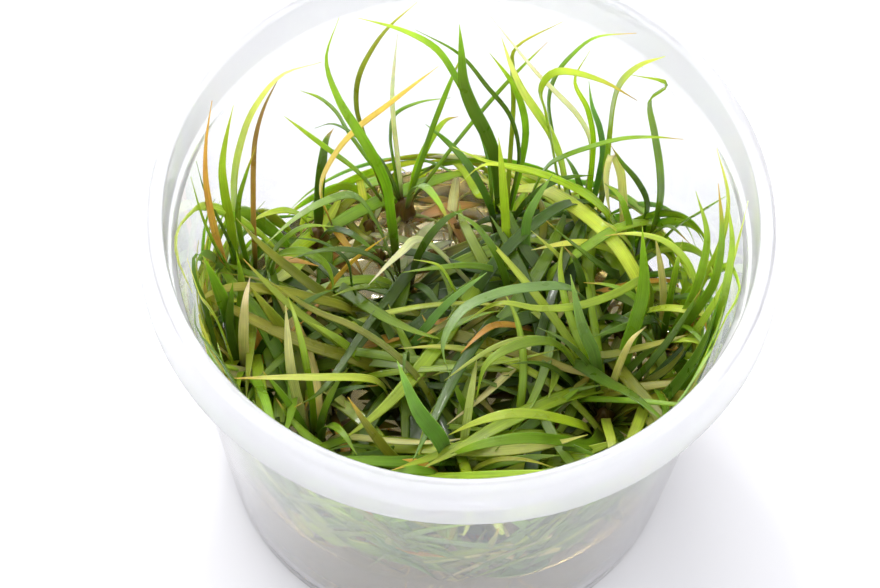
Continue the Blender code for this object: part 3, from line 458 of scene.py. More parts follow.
# The daughter plantlets on runners round each crown: how many, their size and their roots, how far a runner
# reaches and how often one is tried, and how far crowns stay apart and from the wall
DAUGHTERS = 2
DAUGHTER_SIZE = 0.6
DAUGHTER_ROOTS = 4
RUNNER_REACH = (6.5, 12.0)
RUNNER_TRIES = 40
CROWN_SPACING = 5.0
CROWNS_WITHIN = 30.5

# A runner's points, its height over the gel, how far it leaps up, its radius, its grid and its colour
RUNNER_JOINTS = 6
RUNNER_HEIGHT = 0.9
RUNNER_LEAP = (0.6, 2.2)
RUNNER_RADIUS = 0.42
RUNNER_RINGS, RUNNER_ROUND = 16, 8
RUNNER_TINT = (0.26, 0.30, 0.06)

# A crown's profile, as height over the gel and radius, its grid, its ribs, how deep they are and how fast
# they turn with height, the most that a crown is turned at random, and how far both ends reach past the
# profile
CROWN_PROFILE = (
    (-1.6, 0.5), (-0.6, 0.9), (0.4, 1.3), (1.6, 1.6), (2.8, 1.5), (3.8, 1.1), (CROWN_HEIGHT, 0.5),
)
CROWN_RINGS, CROWN_ROUND = 14, 30
CROWN_RIBS = 5.0
RIB_DEPTH = 0.16
RIB_TURN = 0.12
CROWN_TURN = 6.0
CROWN_ENDS = (0.3, 0.2)

# A crown's colours in the gel and out of it, and the heights between which they change
BURIED_TINT = (0.46, 0.38, 0.18)
CROWN_TINT = (0.13, 0.075, 0.014)
CROWN_TINT_FROM = (-0.8, 1.2)

# A root's points and grid, its start under the gel's top, the ranges of its reach, depth and radius, how far
# it wanders and scatters, the powers by which it goes out and down, and how far it stays from the wall
ROOT_JOINTS = 6
ROOT_RINGS, ROOT_ROUND = 20, 6
ROOT_START = 0.6
ROOT_REACH = (3.0, 14.0)
ROOT_DEPTH = (1.0, 15.0)
ROOT_WIDTHS = (0.6, 1.2)
ROOT_WANDER = 0.45
ROOT_SCATTER = 0.5
ROOT_OUT, ROOT_DOWN = 0.8, 1.4
ROOT_CLEAR = 1.0

# A root's colour, the range of its brightness, how much paler its end is, and by what share a tube thins
ROOT_TINT = (0.70, 0.60, 0.34)
ROOT_SHADES = (0.8, 1.15)
ROOT_PALER = 0.25
TUBE_THINS = 0.7

# The finer leaves of a crown and of a daughter: how many, and the share of them that is kept at each y
CROWN_LEAVES = 20
DAUGHTER_LEAVES = 10
THINNED = ((-5.0, 1.0), (12.0, 0.55), (22.0, 0.2))

# The angle in radians, near the golden one, between a crown's leaf or root and the next, and how far a
# leaf's scatters
NEXT_TURN = 2.4
FILL_SCATTER = 0.6

# How a finer leaf is drawn: the ranges of its width, its length and its lean at both ends, its most swing
# aside, its joints, the powers by which it leans over and swings, and its foot's distance out and up
FILL_TRIES = 8
FILL_WIDTH = (0.8, 1.9)
FILL_LENGTH = (18.0, 52.0)
FILL_START_LEAN = (0.1, 0.9)
FILL_END_LEAN = (1.3, 2.8)
FILL_SWING = 1.1
FILL_JOINTS = 7
LEAN_POWER, SWING_POWER = 1.2, 2
FILL_OUT, FILL_UP = 0.7, 0.8

# The points by which leaves are kept apart: how many to a leaf, how many of them are its bundled foot, how
# far they look, and the share of a leaf's width that each keeps free
FILL_MARKS = 18
BUNDLED_MARKS = 4
NEAR = 2.0
WIDTH_SHARE = 0.3

# The finer leaves bend over under the solid ones: in the middle at one height over the gel, rising to
# another at the wall, and under a slope that falls to the back, whose height at y = 0 goes with x
MIDDLE_ROOF = 20.0
WALL_ROOF = 42.0
MIDDLE_WITHIN = 22.0
WALL_FROM = 32.0
ROOF_LOOSE = (0.3, 1.05)
ROOF_FALL = 1.64
ROOF_AT = ((-37, 38), (-20, 36), (-12, 41), (0, 48), (10, 55), (20, 50), (40, 40))
LEAST_ROOF = 4.0

# A fine blade's width: where and over what length it is drawn out to the tip, by what power, and the least
FINE_TAPER_FROM = 0.55
FINE_TAPER = 0.45
FINE_TAPER_POWER = 2.2
FINE_LEAST = 0.09

# Its section: the least share of its thickness at the tip, the power that rounds its edges, and the ranges
# of its keel and its twist, in shares of those set
THIN_LEAST = 0.25
EDGE_POWER = 0.8
KEELS = (0.4, 1.4)
TWISTS = (-1.0, 1.0)

# Millimetres to a unit of a blade's UV places, and how far they are shifted from blade to blade
UV_UNIT = 10.0
UV_SHIFT = 40.0

# How much finer the veins' noise is across a blade than along it, and the same on its third axis
VEIN_SCALE = (1.2, 90.0, 1.0)

# The gel's heel over the cup's, the rounding of its edge and the steps of that, and its grid
GEL_HEEL = 0.7
GEL_CORNER = 1.0
GEL_CORNER_STEPS = 4
GEL_AROUND, GEL_RINGS = 144, 90

# How high the gel's top creeps up the wall and the crowns, over what distance, and from what radius of
# a crown
WALL_CREEP, WALL_CREEP_OVER = 0.7, 1.0
CROWN_CREEP, CROWN_CREEP_OVER = 0.5, 0.8
CROWN_CREEP_FROM = 1.4

# The height of the waves on the gel, and their turns to the millimetre along x and y in two directions
WAVES = 0.05
WAVE_TURNS = ((0.9, 0.4), (-0.7, 0.5))

# The steps of a rounded corner of the cup, and the most that it may take of each side
CORNER_STEPS = 5
CORNER_SHARE = 0.45

# The camera: its place, how far it looks down, to the side and leans, and its focal length in picture widths
EYE = (0.0, -0.229, 0.4385)
LOOK_DOWN = 60.0
LOOK_ASIDE = -0.59
LEAN = 3.0
FOCAL_PICTURES = 3291.0 / 880.0
SENSOR = 36.0
NEAREST = 0.01

# The table's half width, and how much light of its own it gives back, as an overlit table does
TABLE_EDGE = 3.0
TABLE_GLOW = 0.12

# Each lamp's name, the setting that is its power, its place and its size, and the point that all shine at
LAMPS = (("window", "lamp", (-0.4, 0.8, 0.5), 0.9), ("spot", "spot", (-0.12, 0.45, 0.8), 0.06))
LAMP_AIM = (0.0, 0.0, 0.03)


def inner_radius(z):
    """The cup's inside radius at height z: the wall's taper up to the step, and the rim's wall above it."""
    step = CUP_HEIGHT - STEP_DROP
    tapered = BASE_RADIUS - WALL + (STEP_RADIUS - BASE_RADIUS + WALL) * np.minimum(z, step) / step
    return np.where(z < step, tapered, STEP_RADIUS + STEP_WIDTH)


def smooth_line(points, pieces):
    """A Catmull-Rom curve through the points, cut into pieces of equal length."""
    points = np.asarray(points, float)
    ends = np.vstack([2 * points[0] - points[1], points, 2 * points[-1] - points[-2]])
    t = np.linspace(0.0, 1.0, CURVE_STEPS)[:, None]
    runs = []
    for a, b, c, d in zip(ends[:-3], ends[1:-2], ends[2:-1], ends[3:]):
        run = 2 * b + (c - a) * t + (2 * a - 5 * b + 4 * c - d) * t**2 + (3 * b - a - 3 * c + d) * t**3
        runs.append(0.5 * run[:-1])
    fine = np.vstack([*runs, points[-1:]])
    way = np.concatenate([[0.0], np.cumsum(np.linalg.norm(np.diff(fine, axis=0), axis=1))])
    marks = np.linspace(0.0, way[-1], pieces + 1)
    return np.stack([np.interp(marks, way, fine[:, axis]) for axis in range(3)], axis=1)


def kept_inside(line, width):
    """The line with every point held off the wall by half a blade and two gaps, and off the gel."""
    most = inner_radius(line[:, 2]) - 2 * GAP - 0.5 * width
    reach = np.hypot(line[:, 0], line[:, 1])
    held = line.copy()
    held[:, :2] *= np.minimum(1.0, most / reach)[:, None]
    held[:, 2] = np.maximum(held[:, 2], GEL_TOP + GAP + 0.5 * BLADE_THICKNESS + OVER_GEL)
    return held


def blade_sides(line):
    """Across and upper directions along the line: across is level, and square to the leaf's reach."""
    tangent = np.gradient(line, axis=0)
    tangent /= np.linalg.norm(tangent, axis=1)[:, None]
    reach = line[-1] - line[0]
    level = np.array([-reach[1], reach[0], 0.0])
    facing = np.array([1.0, 0.0, 0.0]) * (1.0 if level[0] >= 0 else -1.0)
    level = level + facing * max(0.0, SIDEWAYS_REACH - np.hypot(reach[0], reach[1]))
    across = level - tangent * (tangent @ level)[:, None]
    across /= np.linalg.norm(across, axis=1)[:, None]
    return across, np.cross(tangent, across)


def blade_width(t, width):
    """Narrow at the foot, full from a fifth of the length to the middle, then drawn out to the tip."""
    foot = np.minimum(1.0, BLADE_FOOT + WIDENING * t)
    tip = 1.0 - np.maximum(0.0, (t - TAPER_FROM) / (1.0 - TAPER_FROM)) ** TAPER_POWER
    return width * foot * tip


def solid_blade(line, width, spare=0.0):
    """Vertices and faces of a solid's blade: the section's corners carried along the line to a point."""
    across, upper = blade_sides(line)
    corners = len(SECTION)
    rings = len(line) - 1
    t = np.linspace(0.0, 1.0, len(line))[:-1, None]
    half = 0.5 * np.maximum(blade_width(t, width), LEAST_WIDTH) + spare
    thick = 0.5 * BLADE_THICKNESS + spare
    wide, deep = across[:-1] * half, upper[:-1] * thick
    body = np.stack([line[:-1] + a * wide + b * deep for a, b in SECTION], axis=1)
    ending = line[-1] - line[-2]
    tip = line[-1] + ending / np.linalg.norm(ending) * spare
    vertices = np.vstack([body.reshape(-1, 3), tip[None]])
    faces = [tuple(range(corners))[::-1]]
    for ring in range(rings - 1):
        for k in range(corners):
            a, b = corners * ring + k, corners * ring + (k + 1) % corners
            faces.append((a, b, b + corners, a + corners))
    last = corners * (rings - 1)
    for k in range(corners):
        faces.append((last + k, last + (k + 1) % corners, len(vertices) - 1))
    return vertices, faces


class Space:
    """Shapes already placed, each with its owner, and whether a new shape would touch them."""

    def __init__(self):
        self.shapes = []

    def add(self, owner, vertices, faces):
        """Takes the shape's space for its owner."""
        tree = BVHTree.FromPolygons(vertices.tolist(), faces)
        self.shapes.append((owner, vertices.min(axis=0), vertices.max(axis=0), tree))

    def is_free(self, owner, vertices, faces):
        """Whether the new shape touches nothing but what its own owner has."""
        low, high = vertices.min(axis=0), vertices.max(axis=0)
        near = [
            tree
            for other, tree_low, tree_high, tree in self.shapes
            if other != owner and (low <= tree_high).all() and (high >= tree_low).all()
        ]
        if not near:
            return True
        own = BVHTree.FromPolygons(vertices.tolist(), faces)
        return not any(own.overlap(tree) for tree in near)


def crown_block(x, y):
    """A plain prism round a crown, for telling whether a blade would touch it."""
    turn = np.linspace(0.0, 2.0 * np.pi, CROWN_SIDES, endpoint=False)
    ring = np.stack([np.cos(turn), np.sin(turn)], axis=1) * CROWN_RADIUS
    low = np.column_stack([ring + (x, y), np.full(CROWN_SIDES, GEL_TOP)])
    high = low + (0.0, 0.0, CROWN_HEIGHT)
    faces = [tuple(range(CROWN_SIDES, 2 * CROWN_SIDES))]
    for k in range(CROWN_SIDES):
        after = (k + 1) % CROWN_SIDES
        faces.append((k, after, after + CROWN_SIDES, k + CROWN_SIDES))
    return np.vstack([low, high]), faces


def line_near(points, foot, width, pieces, start, loose, draw):
    """The leaf's line, moved at random by a share of the most that it may move."""
    ahead = np.array(points[0], float) - foot
    turn = np.arctan2(ahead[1], ahead[0]) + draw.uniform(-MOST_TURN, MOST_TURN) * loose
    lift = draw.uniform(LEAST_LIFT, MOST_LIFT) * loose
    drift = draw.uniform(-MOST_DRIFT, MOST_DRIFT, 3) * loose
    climb = draw.uniform(0.0, MOST_CLIMB * loose if start > CROWN_RADIUS else TUFT_CLIMB)
    first = foot + (start * np.cos(turn), start * np.sin(turn), climb)
    rest = np.array(points, float) + LIFT * lift + drift
    return kept_inside(smooth_line(np.vstack([first, rest]), pieces), width)


def placed(spaces, crown, name, width, points, draw):
    """A line for the leaf that touches nothing placed before it, or None where there is no room.

    A leaf with no name of its own is one piece with its crown. It may touch the crown and, up to the first
    joint of its line, the crown's other leaves.
    """
    space, growths = spaces
    owner = name or crown
    pieces, start = (BLADE_PIECES, LEAF_START) if name else (TUFT_PIECES, TUFT_START)
    foot = np.array([*CROWNS[crown], GEL_TOP + 0.5 * CROWN_HEIGHT])
    for attempt in range(TRIES):
        line = line_near(points, foot, width, pieces, start, attempt / TRIES, draw)
        clear = space.is_free(owner, *solid_blade(line, width, GAP))
        if clear and not name:
            clear = growths.is_free(None, *solid_blade(line[1:], width, GAP))
        if clear:
            space.add(owner, *solid_blade(line, width))
            if not name:
                growths.add(crown, *solid_blade(line[1:], width))
            return line
    return None


def young_leaf(crown, number, draw):
    """Points of a leaf that rises from the crown and bends over: its height is a parabola of its reach."""
    x, y = CROWNS[crown]
    middle = 0.5 * (YOUNG_LEAVES - 1)
    heading = np.arctan2(-y, -x) + YOUNG_TURN * (
        number - middle + draw.uniform(-YOUNG_SCATTER, YOUNG_SCATTER)
    )
    reach = draw.uniform(*YOUNG_REACH)
    rise = draw.uniform(*YOUNG_RISE)
    t = np.array(YOUNG_MARKS)
    out = reach * t**YOUNG_BEND
    height = GEL_TOP + 0.5 * CROWN_HEIGHT + rise * t * (2.0 * YOUNG_PEAK - t) / YOUNG_PEAK**2
    return np.stack([x + out * np.cos(heading), y + out * np.sin(heading), height], axis=1)


def lesser_tint(draw, shares=LESSER_SHARES):
    """A kind of leaf drawn by its share among the small ones."""
    return LESSER_TINTS[int(draw.choice(len(LESSER_TINTS), p=shares))]


@functools.cache
def solid_leaves():
    """Every solid leaf as crown, name or None, tint, width and line, placed in the order of the solids."""
    draw = np.random.default_rng(SEED)
    looks = np.random.default_rng(LOOKS_SEED)
    spaces = Space(), Space()
    for crown, (x, y) in CROWNS.items():
        spaces[0].add(crown, *crown_block(x, y))
    leaves = []
    for name, crown, width, tint, points in LEAVES:
        leaves.append((crown, name, tint, width, placed(spaces, crown, name, width, points, draw)))
    lesser = list(TUFT_LEAVES)
    for number in range(YOUNG_LEAVES):
        lesser += [
            (crown, lesser_tint(looks), draw.uniform(*YOUNG_WIDTH), young_leaf(crown, number, draw))
            for crown in CROWNS
        ]
    for crown, tint, width, points in lesser:
        line = placed(spaces, crown, None, width, points, draw)
        if line is not None:
            leaves.append((crown, None, tint, width, line))
    return leaves


def roof_over(x, y):
    """The height over the gel that the finer leaves stay under at x, y."""
    across, heights = np.array(ROOF_AT, float).T
    slope = np.interp(x, across, heights) - ROOF_FALL * y
    bowl = np.interp(np.hypot(x, y), [MIDDLE_WITHIN, WALL_FROM], [MIDDLE_ROOF, WALL_ROOF])
    return np.maximum(LEAST_ROOF, np.minimum(slope, bowl))


def arching_line(x, y, heading, draw):
    """Points of an arching leaf: its lean from upright grows evenly along it, and its heading a little.

    Its height over the gel is roof times tanh(height / roof), so that it bends over under the roof.
    """
    length = draw.uniform(*FILL_LENGTH)
    s = (np.arange(FILL_JOINTS) + 0.5) / FILL_JOINTS
    start, end = draw.uniform(*FILL_START_LEAN), draw.uniform(*FILL_END_LEAN)
    lean = start + (end - start) * s**LEAN_POWER
    turn = heading + draw.uniform(-FILL_SWING, FILL_SWING) * s**SWING_POWER
    step = length / FILL_JOINTS
    moves = step * np.stack([np.sin(lean) * np.cos(turn), np.sin(lean) * np.sin(turn), np.cos(lean)], axis=1)
    foot = np.array([x + FILL_OUT * np.cos(heading), y + FILL_OUT * np.sin(heading), GEL_TOP + FILL_UP])
    points = np.vstack([foot, foot + np.cumsum(moves, axis=0)])
    roof = roof_over(points[:, 0], points[:, 1]) * draw.uniform(*ROOF_LOOSE)
    points[:, 2] = GEL_TOP + roof * np.tanh((points[:, 2] - GEL_TOP) / roof)
    return points


@functools.cache
def daughters():
    """The daughter plantlets, as crown, x and y: each a runner's reach from its crown, clear of the rest."""
    draw = np.random.default_rng(DAUGHTER_SEED)
    feet = [(crown, x, y) for crown, (x, y) in CROWNS.items()]
    for number in range(DAUGHTERS):
        for crown, (x, y) in CROWNS.items():
            for attempt in range(RUNNER_TRIES):
                heading, reach = draw.uniform(0.0, 2.0 * np.pi), draw.uniform(*RUNNER_REACH)
                place = np.array([x + reach * np.cos(heading), y + reach * np.sin(heading)])
                apart = min(np.hypot(place[0] - a, place[1] - b) for _, a, b in feet)
                if apart > CROWN_SPACING and np.hypot(*place) < CROWNS_WITHIN:
                    feet.append((crown, *place))
                    break
    return feet[len(CROWNS):]


def marked(line, width):
    """Points at even steps along the leaf past its foot, each with the share of the width it keeps free."""
    marks = smooth_line(line, FILL_MARKS)[BUNDLED_MARKS:]
    return np.column_stack([marks, np.full(len(marks), WIDTH_SHARE * width)])


def room_round(marks, taken):
    """How far the marks keep from those taken, less what both keep free, and no more than NEAR."""
    low, high = marks[:, :3].min(axis=0) - NEAR, marks[:, :3].max(axis=0) + NEAR
    near = taken[((taken[:, :3] > low) & (taken[:, :3] < high)).all(axis=1)]
    if not len(near):
        return NEAR
    apart = np.linalg.norm(marks[:, None, :3] - near[None, :, :3], axis=2)
    return min(NEAR, (apart - marks[:, None, 3] - near[None, :, 3]).min())


def pressed_line(draw):
    """A leaf that leaves the gel near the wall and runs round against it, mostly to the back.

    Its way round grows with t, and its height is a parabola of t that bends over near its end.
    """
    start = draw.uniform(0.0, 2.0 * np.pi)
    side = 1.0 if np.cos(start) > 0 else -1.0
    if draw.random() > PRESSED_BACKWARD:
        side = -side
    t = np.linspace(0.0, 1.0, FILL_JOINTS + 1)
    angle = start + side * draw.uniform(*PRESSED_SPAN) * t
    ends, low, high = np.array(PRESSED_RISES).T
    end = WALL_FROM * np.sin(angle[-1])
    rise = draw.uniform(np.interp(end, ends, low), np.interp(end, ends, high))
    peak = draw.uniform(*PRESSED_PEAK)
    height = GEL_TOP + PRESSED_FOOT + rise * t * (2.0 * peak - t) / peak**2
    inset = draw.uniform(*PRESSED_INSET) * (1.0 - eased(0.0, PRESSED_JOINS, t))
    radius = inner_radius(height) - inset - draw.uniform(0.0, PRESSED_TIP) * t
    return np.stack([radius * np.cos(angle), radius * np.sin(angle), height], axis=1)


def nearest_crown(line):
    """The crown that stands nearest the line's foot."""
    return min(CROWNS, key=lambda name: np.hypot(*(line[0, :2] - CROWNS[name])))


@functools.cache
def pressed_leaves():
    """The finer leaves against the wall, as crown, tint, width and line, with the crown nearest the foot."""
    draw = np.random.default_rng(PRESSED_SEED)
    leaves = []
    for crown, tint, width, points in WALL_LEAVES:
        foot = (*CROWNS[crown], GEL_TOP + 0.5 * CROWN_HEIGHT)
        line = smooth_line([foot, *points], FILL_JOINTS)
        leaves.append((crown, tint, width, kept_inside(line, width)))
    for number in range(PRESSED_LEAVES):
        width, line = draw.uniform(*PRESSED_WIDTH), pressed_line(draw)
        if line[-1, 1] > PRESSED_BEHIND and draw.random() > PRESSED_KEPT:
            continue
        tint = lesser_tint(draw, PRESSED_SHARES)
        leaves.append((nearest_crown(line), tint, width, kept_inside(line, width)))
    return leaves


@functools.cache
def fallen_leaves():
    """Old leaves that lie on the gel in a bow, as crown, tint, width and line."""
    draw = np.random.default_rng(FALLEN_SEED)
    leaves = []
    for number in range(FALLEN_LEAVES):
        width, length = draw.uniform(*FALLEN_WIDTH), draw.uniform(*FALLEN_LENGTH)
        place, way = draw.uniform(0.0, 2.0 * np.pi, 2)
        t = np.linspace(0.0, 1.0, FILL_JOINTS + 1)
        turn = way + draw.uniform(-FILL_SWING, FILL_SWING) * t
        reach = FALLEN_WITHIN * np.sqrt(draw.random())
        x = reach * np.cos(place) + np.cumsum(np.cos(turn)) * length / FILL_JOINTS
        y = reach * np.sin(place) + np.cumsum(np.sin(turn)) * length / FILL_JOINTS
        height = GEL_TOP + draw.uniform(*FALLEN_HEIGHT) + draw.uniform(0.0, FALLEN_BOW) * t * (1.0 - t)
        line = kept_inside(np.stack([x, y, height], axis=1), width)
        tint = FALLEN_TINTS[int(draw.choice(len(FALLEN_TINTS), p=FALLEN_SHARES))]
        leaves.append((nearest_crown(line), tint, width, line))
    return leaves


def sight_gaps():
    """Points up from each gap towards the eye, each with the radius that it keeps free."""
    rise = np.arange(0.0, GAP_HEIGHT, GAP_STEP)[:, None]
    eye = np.array(EYE) / MM
    rows = []
    for x, y, radius in GAPS:
        foot = np.array([x, y, GEL_TOP])
        ray = (eye - foot) / (eye[2] - GEL_TOP)
        rows.append(np.column_stack([foot + ray * rise, np.full(len(rise), radius)]))
    return np.vstack(rows)


@functools.cache
def filling_leaves():
    """The finer leaves between the solid ones, as crown, tint, width and line.

    Of several tries for a leaf that cover no gap, the one farthest from the leaves there already is taken.
    """
    draw = np.random.default_rng(FILL_SEED)
    leaves = []
    gaps = sight_gaps()
    here = [leaf[-2:] for leaf in pressed_leaves() + solid_leaves()]
    taken = np.vstack([marked(line, width) for width, line in here])
    feet = [(crown, x, y, CROWN_LEAVES) for crown, (x, y) in CROWNS.items()]
    feet += [(crown, x, y, DAUGHTER_LEAVES) for crown, x, y in daughters()]
    places, kept = np.array(THINNED).T
    for crown, x, y, count in feet:
        # The kinds shift from darker ones in the middle to lighter ones by the wall, partly painted shade
        # and painted light
        outer = eased(*OUTER_FROM, np.hypot(x, y))
        shares = np.array(DEEP_SHARES) * (1.0 - outer) + np.array(OUTER_SHARES) * outer
        for number in range(int(count * np.interp(y, places, kept))):
            width, tint = draw.uniform(*FILL_WIDTH), lesser_tint(draw, shares)
            best, most = None, -np.inf
            for attempt in range(FILL_TRIES):
                heading = NEXT_TURN * number + draw.uniform(-FILL_SCATTER, FILL_SCATTER)
                points = kept_inside(arching_line(x, y, heading, draw), width)
                marks = marked(points, width)
                room = room_round(marks, taken)
                if room > most and room_round(marks, gaps) > GAP_TOUCH:
                    best, most, best_marks = points, room, marks
            if best is not None:
                leaves.append((crown, tint, width, best))
                taken = np.vstack([taken, best_marks])
    return leaves


def shell_faces(rings, around):
    """Quads between the rings of a closed tube, and the fans that close its ends on two last points."""
    ring = np.arange(rings - 1)[:, None] * around
    here = np.arange(around)[None]
    after = (here + 1) % around
    quads = np.stack([ring + here, ring + after, ring + after + around, ring + here + around], axis=-1)
    first, last, top = rings * around, rings * around + 1, (rings - 1) * around
    start = np.stack([np.full(around, first), after[0], here[0]], axis=1)
    end = np.stack([np.full(around, last), top + here[0], top + after[0]], axis=1)
    return quads.reshape(-1, 4), np.vstack([start, end])


def pressed_sides(line):
    """Across and outer directions along a line at the wall, for a blade that lies flat against it."""
    tangent = np.gradient(line, axis=0)
    tangent /= np.linalg.norm(tangent, axis=1)[:, None]
    outward = line * (1.0, 1.0, 0.0)
    across = np.cross(outward, tangent)
    across /= np.linalg.norm(across, axis=1)[:, None]
    return across, np.cross(tangent, across)


def closed_shell(grid, first, last):
    """A tube's points, a grid of rings by points round each, with the two points that close its ends."""
    return np.vstack([grid.reshape(-1, 3), first, last])


def fine_width(t, width, foot):
    """The share foot of its width at the foot, full past the middle, then drawn out to the tip."""
    foot = np.minimum(1.0, foot + WIDENING * t)
    tip = 1.0 - np.maximum(0.0, (t - FINE_TAPER_FROM) / FINE_TAPER) ** FINE_TAPER_POWER
    return width * foot * tip


# How a blade's surface is made: the rings along it, the points round each, the rule for its across and upper
# directions, and the share of its width that it has at its foot, less where the foot is free
Form = namedtuple("Form", "rings around sides foot")
LONG = Form(36, 10, blade_sides, 0.6)
FINE = Form(26, 8, blade_sides, 0.6)
FALLEN = Form(26, 8, blade_sides, 0.1)
PRESSED = Form(26, 8, pressed_sides, 0.1)


def blade_surface(line, width, thickness, keel, twist, form):
    """A blade's closed surface, as its points and their places along and across it.

    Ring t of the path carries a flat oval: x = half width times cos a, y = half thickness times sin a. The
    oval is bent to a gutter, y + keel times |x|, and is turned about the path by twist times t squared.
    """
    rings, around, sides, foot = form
    path = smooth_line(line, rings - 1)
    across, upper = sides(path)
    t = np.linspace(0.0, 1.0, rings)[:, None]
    turn = twist * t**2
    wide = across * np.cos(turn) + upper * np.sin(turn)
    deep = upper * np.cos(turn) - across * np.sin(turn)
    half = 0.5 * np.maximum(fine_width(t, width, foot), FINE_LEAST)
    thin = 0.5 * thickness * np.clip(2.0 * half / width, THIN_LEAST, 1.0)
    angle = np.linspace(0.0, 2.0 * np.pi, around, endpoint=False)[None]
    x = np.sign(np.cos(angle)) * np.abs(np.cos(angle)) ** EDGE_POWER
    rise = thin * np.sin(angle) + keel * half * (np.abs(x) - 0.5)
    grid = path[:, None] + wide[:, None] * (half * x)[..., None] + deep[:, None] * rise[..., None]
    points = closed_shell(grid, path[0], path[-1])
    along = np.concatenate([np.broadcast_to(t, (rings, around)).ravel(), [0.0, 1.0]])
    beside = np.concatenate([np.broadcast_to(x, (rings, around)).ravel(), [0.0, 0.0]])
    return points, along, beside


def eased(low, high, t):
    """0 below low, 1 above high, and a smooth step between."""
    share = np.clip((t - low) / (high - low), 0.0, 1.0)
    return share * share * (3.0 - 2.0 * share)


def blade_tint(along, beside, tint, light, draw):
    """The blade's colour: brownish at the foot, its own, then its tip's or orange, with a lighter rib, all
    lightened by the painted light that it is given.
    """
    base, tip = (np.array(colour) * light for colour in TINTS[tint])
    foot = np.array(FOOT_TINT) * draw.uniform(*FOOT_SHADES)
    shade = draw.uniform(*BLADE_SHADES)
    shade = shade * np.array([draw.uniform(*BLADE_REDS), 1.0, draw.uniform(*BLADE_BLUES)])
    fade = eased(draw.uniform(*TIP_FADES_FROM), 1.0, along)[:, None]
    colour = (base + (tip - base) * fade) * shade
    if tint in BURNT_KINDS and draw.random() < BURNT_SHARE:
        burnt = eased(draw.uniform(*BURNT_FROM), BURNT_TO, along)[:, None]
        colour = colour * (1.0 - burnt) + np.array(TINTS["orange"][0]) * burnt
    start = 1.0 - eased(FOOT_FADES_FROM, draw.uniform(*FOOT_FADES_TO), along)[:, None]
    colour = colour * (1.0 - start) + foot * start
    rib = 1.0 + RIB_LIGHT * np.exp(-((beside / RIB_WIDTH) ** 2))
    rib = rib - EDGE_SHADE * eased(EDGE_FROM, 1.0, np.abs(beside))
    return np.clip(colour * rib[:, None], 0.0, 1.0)


def tube_surface(line, radius, rings, around):
    """A tapering tube's closed surface: a circle carried along the path, thinner towards its end."""
    path = smooth_line(line, rings - 1)
    across, upper = blade_sides(path)
    t = np.linspace(0.0, 1.0, rings)[:, None]
    thin = radius * (1.0 - TUBE_THINS * t)
    angle = np.linspace(0.0, 2.0 * np.pi, around, endpoint=False)[None]
    grid = (
        path[:, None]
        + across[:, None] * (thin * np.cos(angle))[..., None]
        + upper[:, None] * (thin * np.sin(angle))[..., None]
    )
    return closed_shell(grid, path[0], path[-1]), np.concatenate([np.repeat(t, around), [0.0, 1.0]])


def joined(parts):
    """One mesh of several: points, quads, triangles, colours and places, with the faces' numbers moved."""
    count, moved = 0, []
    for points, quads, corners, tints, places in parts:
        moved.append((points, quads + count, corners + count, tints, places))
        count += len(points)
    return [np.vstack(rows) for rows in zip(*moved)]


def new_piece(name, finishes, points, quads, corners, tints=None, places=None):
    """An object from millimetres, at the origin, with a colour and a UV place for each point of a leaf."""
    mesh = bpy.data.meshes.new(name)
    loops = np.concatenate([quads.ravel(), corners.ravel()]).astype(np.int32)
    totals = np.concatenate([np.full(len(quads), 4), np.full(len(corners), 3)])
    starts = np.concatenate([[0], np.cumsum(totals)[:-1]]).astype(np.int32)
    mesh.vertices.add(len(points))
    mesh.vertices.foreach_set("co", (points * MM).astype(np.float32).ravel())
    mesh.loops.add(len(loops))
    mesh.loops.foreach_set("vertex_index", loops)
    mesh.polygons.add(len(totals))
    mesh.polygons.foreach_set("loop_start", starts)
    mesh.polygons.foreach_set("use_smooth", np.ones(len(totals), bool))
    if tints is not None:
        colours = np.column_stack([tints, np.ones(len(tints))]).astype(np.float32)
        mesh.attributes.new("tint", "FLOAT_COLOR", "POINT").data.foreach_set("color", colours.ravel())
    if places is not None:
        layer = mesh.uv_layers.new(name="blade")
        layer.data.foreach_set("uv", places[loops].astype(np.float32).ravel())
    mesh.update(calc_edges=True)
    mesh.validate()
    for finish in finishes:
        mesh.materials.append(finish)
    piece = bpy.data.objects.new(name, mesh)
    bpy.context.scene.collection.objects.link(piece)
    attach(piece, "root")
    return piece


def blade_part(form, tint, width, line, settings, draw):
    """One blade for a mesh, with its length and width as its UV places."""
    points, along, beside = blade_surface(
        line,
        width * settings.breadth,
        settings.thickness / MM,
        settings.keel * draw.uniform(*KEELS),
        settings.twist * draw.uniform(*TWISTS),
        form,
    )
    points[:, 2] = np.minimum(points[:, 2], CUP_HEIGHT)
    length = np.linalg.norm(np.diff(line, axis=0), axis=1).sum()
    shifted = beside * width / UV_UNIT + draw.uniform(0.0, UV_SHIFT)
    places = np.column_stack([along * length / UV_UNIT, shifted])
    x, y, _ = line[len(line) // 2]
    # Painted light: the blade's colour is made lighter by the wall and at the back
    light = 1.0 + WALL_LIGHT * eased(*WALL_LIGHT_FROM, np.hypot(x, y))
    light = light + BACK_LIGHT * eased(*BACK_LIGHT_FROM, y)
    # Painted shade: blades are darkened low down and away from the wall, deep between the plantlets
    low = 1.0 - eased(*DEEP_HEIGHTS, points[:, 2])
    inner = 1.0 - eased(*DEEP_REACHES, np.hypot(points[:, 0], points[:, 1]))
    tints = blade_tint(along, beside, tint, light, draw) * (1.0 - DEEP_SHADE * low * inner)[:, None]
    return points, *shell_faces(form.rings, form.around), tints, places


